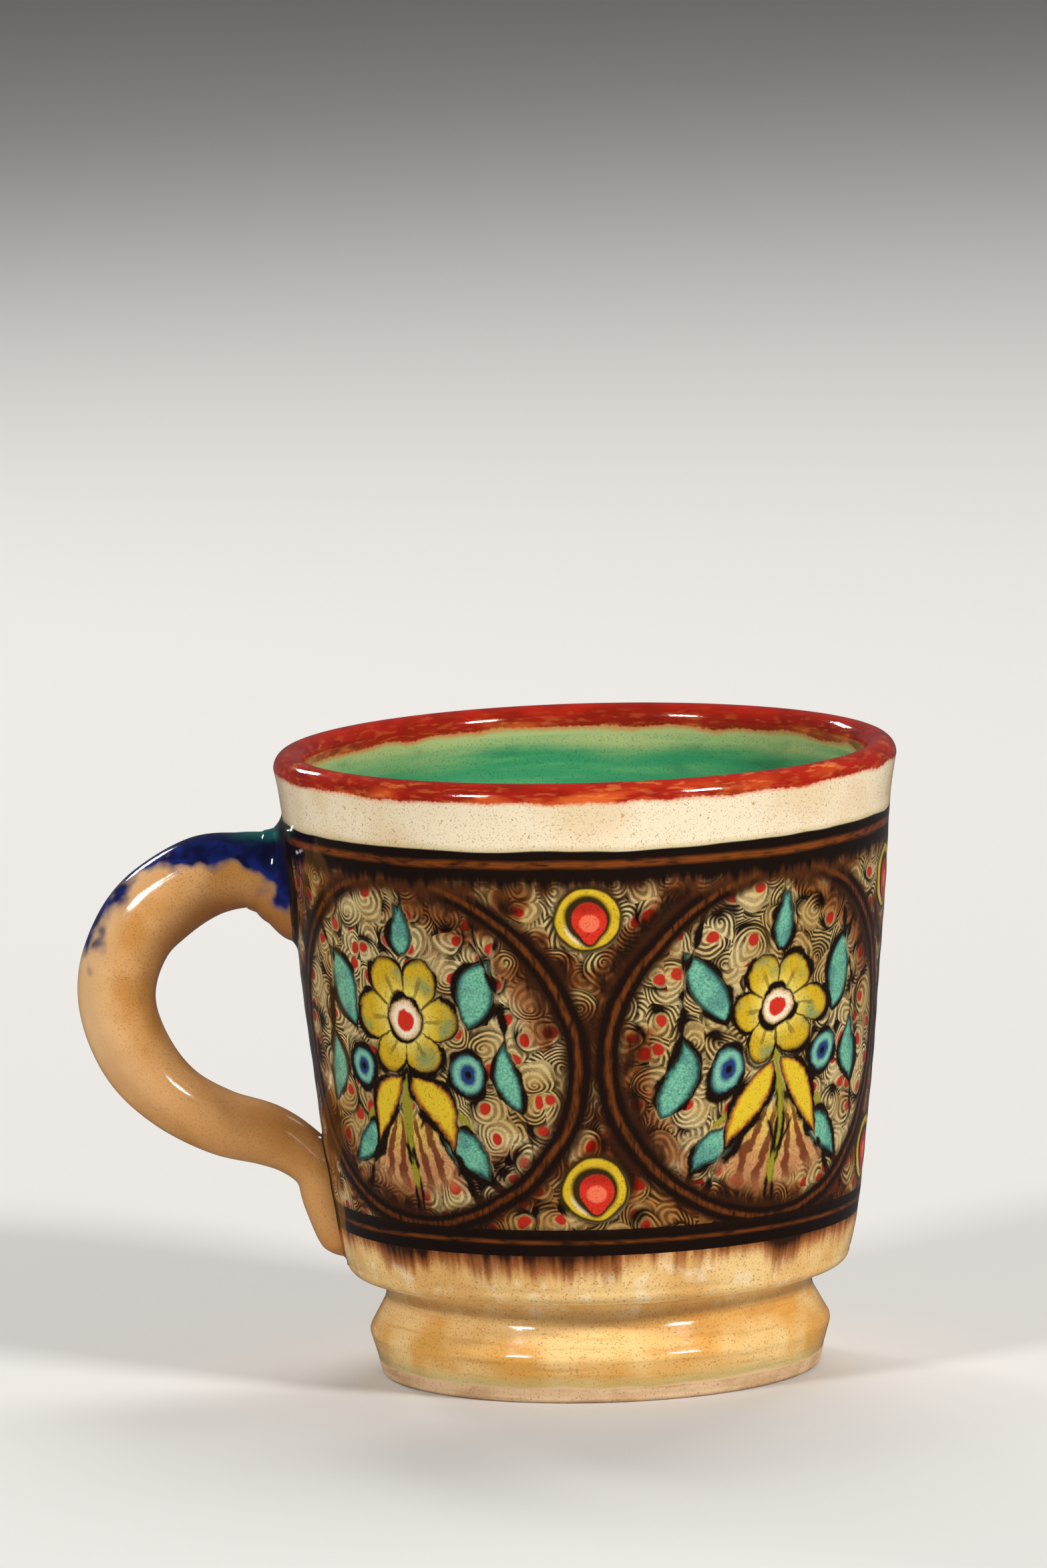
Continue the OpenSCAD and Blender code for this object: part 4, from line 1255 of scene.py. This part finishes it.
def clay_finish(name):
    """Bare clay with throwing lines."""
    p = Paint(name)
    colour = p.patches(p.c.clay, shade(206, 164, 118), 5, 0.35, 0.65, 1, detail=3)
    colour = p.patches(colour, shade(184, 140, 96), 0.7, 0.5, 0.7, 2, 0.4, (14, 14, 1))
    colour = p.specks(colour, 0.3, 0.62, shade(120, 80, 50), 3, 0.5)
    return p.finish(colour, 0.72, 0.05, 0.2)


def tan_glaze(p):
    """Speckled tan of the handle, with painted shade inside the loop and a painted highlight on its outer
    side, and cobalt run over its root and top.

    The cobalt lies where the distance from the middle of the loop is above an edge that rises with the turn
    from the root to the outermost point. It ends in an uneven line 61 to 66 mm up.
    """
    c = p.c
    loop_out, loop_height = 52.0, 60.0
    colour = p.patches(c.tan, shade(196, 137, 70), 10, 0.36, 0.64, 1)
    colour = p.specks(colour, 0.24, 0.58, shade(140, 88, 42), 2, 0.45)
    colour = p.specks(colour, 0.42, 0.7, shade(80, 46, 22), 3, 0.5)
    dx, dz = p.x + loop_out, p.z - loop_height
    out = p.away(dx, dz)
    # Painted highlight: the outer side of the loop is made paler above the tail.
    colour = p.mix(p.step(out, 16.5, 22.5) * p.step(p.z, 36.0, 50.0) * 0.6, colour, shade(238, 200, 152))
    colour = p.mix(p.step(p.z, 66.0, 34.0) * 0.4, colour, shade(190, 128, 64))
    # Painted shade: the tan turns browner on the inside of the loop.
    colour = p.mix(p.step(out, 16.0, 9.0) * 0.78, colour, shade(142, 84, 38))
    colour = p.mix(p.step(p.z, 24.0, 18.0) * 0.4, colour, shade(186, 120, 56))
    turn = p.math("ARCTAN2", dz, dx)
    edge = p.step(turn, 1.12, 1.7) * 4.6 + p.step(turn, 1.7, 2.66) * 3.4 + 13.4
    drip = (p.noise(4.2, 1, seed=81) - 0.5) * 8.0 + (p.noise(1.3, 1, seed=82) - 0.5) * 1.2
    depth = out - edge + drip
    above = p.step(p.z + (p.noise(3.0, 1, seed=85) - 0.5) * 7.0, 61.5, 65.5)
    colour = p.mix(p.step(depth, -1.3, 0.2) * above * 0.55, colour, shade(96, 92, 110))
    blue = p.patches(c.cobalt, shade(22, 38, 108), 3, 0.4, 0.65, 83)
    colour = p.mix(p.step(depth, -0.3, 1.1) * above, colour, blue)
    colour = p.mix(p.step(depth, 1.2, 4.2) * above * 0.75, colour, shade(8, 10, 40))
    crest = p.step(p.z + p.noise(3, 1, seed=84) * 2, 80.4, 82.4) * p.step(p.x, -54.0, -49.5)
    return p.mix(crest * 0.85, colour, shade(20, 96, 92))


def handle_finish():
    """Tan glaze of the handle."""
    p = Paint("speckled_tan_handle")
    return p.finish(tan_glaze(p), 0.13, 0.05)


def splash_finish():
    """Cobalt that ran over the root and top of the handle, thicker and glossier than the tan."""
    p = Paint("cobalt_run")
    return p.finish(tan_glaze(p), 0.1, 0.04)


def joint_finish(name):
    """The handle's own glaze, which turns rust and then near-black where the fillet meets the wall.

    The height off the wall is the radius less foot radius + taper x share of the height to the power 0.72.
    """
    p = Band(name)
    m, c = p.m, p.c
    share = p.math("MAXIMUM", p.z - m.wall_start / MM, 0.0) / ((m.band_top - m.wall_start) / MM)
    wall = share**SWELL * (m.wall_taper / MM) + m.foot_radius / MM
    stand = p.radius - wall + (p.noise(2, 1, seed=3) - 0.5) * 0.8
    edge = p.mix(p.step(p.z, 64.0, 70.0), c.rust, shade(16, 16, 34))
    colour = p.mix(p.step(stand, 1.5, 0.5) * 0.85, tan_glaze(p), edge)
    band = p.step(p.z + p.noise(4, 1, seed=2) * 3, 21.5, 25.0)
    return p.finish(p.mix(p.step(stand, 0.75, 0.2) * band, colour, c.ink), 0.12, 0.04)


class MUG_OT_clay(bpy.types.Operator):
    """Turns the foot and gives the thrown body its clay"""

    bl_idname = "mug.clay"
    bl_label = "Clay Body and Foot"

    def execute(self, context):
        m = measures()
        place("turned_foot", [foot_shell(m)], clay_finish("bare_pale_clay"), "pale_clay", ["foot_ring"])
        body = clay_finish("fired_body_clay")
        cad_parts["cup"].material_slots[0].material = body
        return {"FINISHED"}


class MUG_OT_glazes(bpy.types.Operator):
    """Lays on the glazes and the slip that run all the way round"""

    bl_idname = "mug.glazes"
    bl_label = "Glazes and Slip"

    def execute(self, context):
        m = measures()
        for name, run, finish, slot, node in (
                ("foot_glaze_coat", "foot", foot_finish, "amber_glaze", "foot_glaze"),
                ("lower_wall_glaze", "lower", lower_finish, "honey_glaze", "lower_glaze"),
                ("slip_neck_band", "slip", slip_finish, "cream_slip", "slip_band"),
                ("red_lip_glaze", "lip", lip_finish, "red_glaze", "rim_glaze")):
            place(name, [coat_shell(m, run)], finish(), slot, [node])
        place("green_liner", [liner_shell(m)], liner_finish(), "green_glaze", ["liner_glaze"])
        return {"FINISHED"}


class MUG_OT_stripes(bpy.types.Operator):
    """Brushes the dark stripes above and below the painted field"""

    bl_idname = "mug.stripes"
    bl_label = "Border Stripes"

    def execute(self, context):
        m = measures()
        upper = stripe_paint("upper_stripe_brushwork", True)
        lower = stripe_paint("lower_stripe_brushwork", False)
        place("upper_border_stripe", [coat_shell(m, "upper_border")], upper, "dark_paint", ["upper_border"])
        place("lower_border_stripe", [coat_shell(m, "lower_border")], lower, "dark_paint", ["lower_border"])
        return {"FINISHED"}


class MUG_OT_painting(bpy.types.Operator):
    """Paints the scroll ground and the roundels with their frames"""

    bl_idname = "mug.painting"
    bl_label = "Scrolls and Roundels"

    def execute(self, context):
        m = measures()
        angles = [roundel_angle(m, i) for i in range(m.roundels)]
        gaps = [ground_panel(m, left, right, 60) for left, right in zip(angles, angles[1:])]
        gaps.append(ground_panel(m, angles[-1], angles[0] + 2 * math.pi, 120))
        place("scroll_ground_panels", gaps, scroll_ground(), "scroll_ground", ["painted_ground"], (2, 2))
        rings = [frame_ring(m, angle) for angle in angles]
        place("roundel_frame_rings", rings, frame_paint(), "frame_paint", ["roundel_frames"], (2, 2))
        lap = 0.3 * MM
        wide, tall = m.oval_half_width + lap, m.oval_half_height + lap
        fields = [oval_disc(m, angle, m.middle, wide, tall, rows=36, columns=180) for angle in angles]
        place("roundel_paintings", fields, field_paint(), "field_ground", ["roundel_fields"], (2, 2))
        return {"FINISHED"}


class MUG_OT_rosettes(bpy.types.Operator):
    """Paints the rosettes between the roundels"""

    bl_idname = "mug.rosettes"
    bl_label = "Rosettes"

    def execute(self, context):
        m = measures()
        rise = m.half_field - m.rosette_inset
        spots = [(i * m.pitch, m.middle + side * rise) for i in range(m.roundels - 1) for side in (-1, 1)]
        disc_lift, heart_lift = 0.03 * MM, 0.05 * MM
        discs = [oval_disc(m, angle, z, m.rosette, m.rosette, 10, 96, disc_lift) for angle, z in spots]
        yellow, red = rosette_paint("rosette_yellow"), rosette_paint("rosette_red")
        place("rosette_yellow_discs", discs, yellow, "yellow_paint", ["rosette_discs"], (3, 2))
        hearts = [oval_disc(m, angle, z, m.heart, m.heart, 10, 72, heart_lift) for angle, z in spots]
        place("rosette_red_hearts", hearts, red, "red_paint", ["rosette_hearts"], (3, 2))
        return {"FINISHED"}


class MUG_OT_handle(bpy.types.Operator):
    """Pulls the handle, smooths its joints onto the wall and runs cobalt over its top"""

    bl_idname = "mug.handle"
    bl_label = "Handle and Joints"

    def execute(self, context):
        m = measures()
        place("pulled_handle", [handle_shell(m)], handle_finish(), "tan_glaze", ["handle"])
        root_z, tail_z = m.handle_top - 0.9 * MM, m.handle_tail + 8.6 * MM
        root = joint_shell(m, root_z, from_u=0.2, to_u=3.5, reach=1.7 * MM, height=1.7 * MM)
        tail = joint_shell(m, tail_z, from_u=12.0, to_u=19.0, reach=1.2 * MM, height=1.1 * MM)
        place("root_joint_fillet", [root], joint_finish("dark_root_seam"), "joint_slip", ["upper_joint"])
        place("tail_joint_fillet", [tail], joint_finish("brown_tail_seam"), "joint_slip", ["lower_joint"])
        place("cobalt_run_skin", [splash_shell(m)], splash_finish(), "cobalt_glaze", ["cobalt_splash"])
        return {"FINISHED"}


class MUG_OT_studio(bpy.types.Operator):
    """Makes the plain floor, the soft lights and the camera"""

    bl_idname = "mug.studio"
    bl_label = "Studio"

    def execute(self, context):
        scene = context.scene
        reach = 12.0
        mesh = bpy.data.meshes.new("studio_floor")
        mesh.from_pydata([(-reach, -reach, 0), (reach, -reach, 0), (reach, reach, 0), (-reach, reach, 0)],
                         [], [(0, 1, 2, 3)])
        floor = bpy.data.objects.new("studio_floor", mesh)
        scene.collection.objects.link(floor)
        cloth = bpy.data.materials.new("pale_floor")
        cloth.use_nodes = True
        shader = cloth.node_tree.nodes["Principled BSDF"]
        shader.inputs["Base Color"].default_value = (0.62, 0.6, 0.57, 1)
        shader.inputs["Roughness"].default_value = 0.75
        mesh.materials.append(cloth)
        floor.visible_glossy = False
        camera = bpy.data.objects.new("camera", bpy.data.cameras.new("camera"))
        scene.collection.objects.link(camera)
        scene.camera = camera
        middle = Vector((0, 0, 0.05))
        right = Vector((0.99961014, 0.0002544, -0.02791977))
        up = Vector((0.02761952, 0.13752451, 0.99011321))
        turned = Matrix((right, up, right.cross(up))).transposed().to_4x4()
        eye = Vector((0, -2.207216, 0.393393))
        camera.matrix_world = Matrix.Translation(eye) @ turned
        camera.data.lens = 347.37
        camera.data.sensor_width = 36
        camera.data.clip_end = 20
        world = bpy.data.worlds.new("studio_air")
        scene.world = world
        world.use_nodes = True
        world.node_tree.nodes["Background"].inputs["Color"].default_value = (0.95, 0.97, 1, 1)
        world.node_tree.nodes["Background"].inputs["Strength"].default_value = 0.09
        for name, where, power, size in (
                ("key_softbox", (1.15, -1.05, 1.05), 28, 0.34),
                ("fill_softbox", (-1.15, -1.1, 1.1), 19, 0.34),
                ("back_softbox", (0.2, 1.0, 1.4), 20, 1.0),
                ("back_lamp", (-0.7, 1.2, 0.75), 5, 0.22)):
            lamp = bpy.data.objects.new(name, bpy.data.lights.new(name, "AREA"))
            lamp.data.energy = power
            lamp.data.size = size
            lamp.location = where
            lamp.visible_glossy = name != "back_softbox"
            lamp.rotation_euler = (middle - Vector(where)).to_track_quat("-Z", "Y").to_euler()
            scene.collection.objects.link(lamp)
        scene.view_settings.view_transform = "Standard"
        return {"FINISHED"}


class MUG_PT_panel(bpy.types.Panel):
    """Sizes, colours and steps of the mug"""

    bl_idname = "MUG_PT_panel"
    bl_label = "Footed Clay Mug"
    bl_space_type = "VIEW_3D"
    bl_region_type = "UI"
    bl_category = "Mug"

    def draw(self, context):
        for group in (context.scene.mug_sizes, context.scene.mug_painting, context.scene.mug_colours):
            box = self.layout.box()
            for key in type(group).__annotations__:
                box.prop(group, key)
        for operator in OPERATORS:
            self.layout.operator(operator.bl_idname)


OPERATORS = (MUG_OT_clay, MUG_OT_glazes, MUG_OT_stripes, MUG_OT_painting, MUG_OT_rosettes, MUG_OT_handle,
             MUG_OT_studio)
CLASSES = (MugSizes, MugPainting, MugColours, *OPERATORS, MUG_PT_panel)


def register():
    """Registers the settings, the steps and the panel."""
    for cls in CLASSES:
        bpy.utils.register_class(cls)
    bpy.types.Scene.mug_sizes = PointerProperty(type=MugSizes)
    bpy.types.Scene.mug_painting = PointerProperty(type=MugPainting)
    bpy.types.Scene.mug_colours = PointerProperty(type=MugColours)


def unregister():
    """Takes them away again."""
    del bpy.types.Scene.mug_colours
    del bpy.types.Scene.mug_painting
    del bpy.types.Scene.mug_sizes
    for cls in reversed(CLASSES):
        bpy.utils.unregister_class(cls)


def main():
    """Makes the whole mug."""
    register()
    bpy.ops.mug.clay()
    bpy.ops.mug.glazes()
    bpy.ops.mug.stripes()
    bpy.ops.mug.painting()
    bpy.ops.mug.rosettes()
    bpy.ops.mug.handle()
    bpy.ops.mug.studio()


if __name__ == "__main__":
    main()
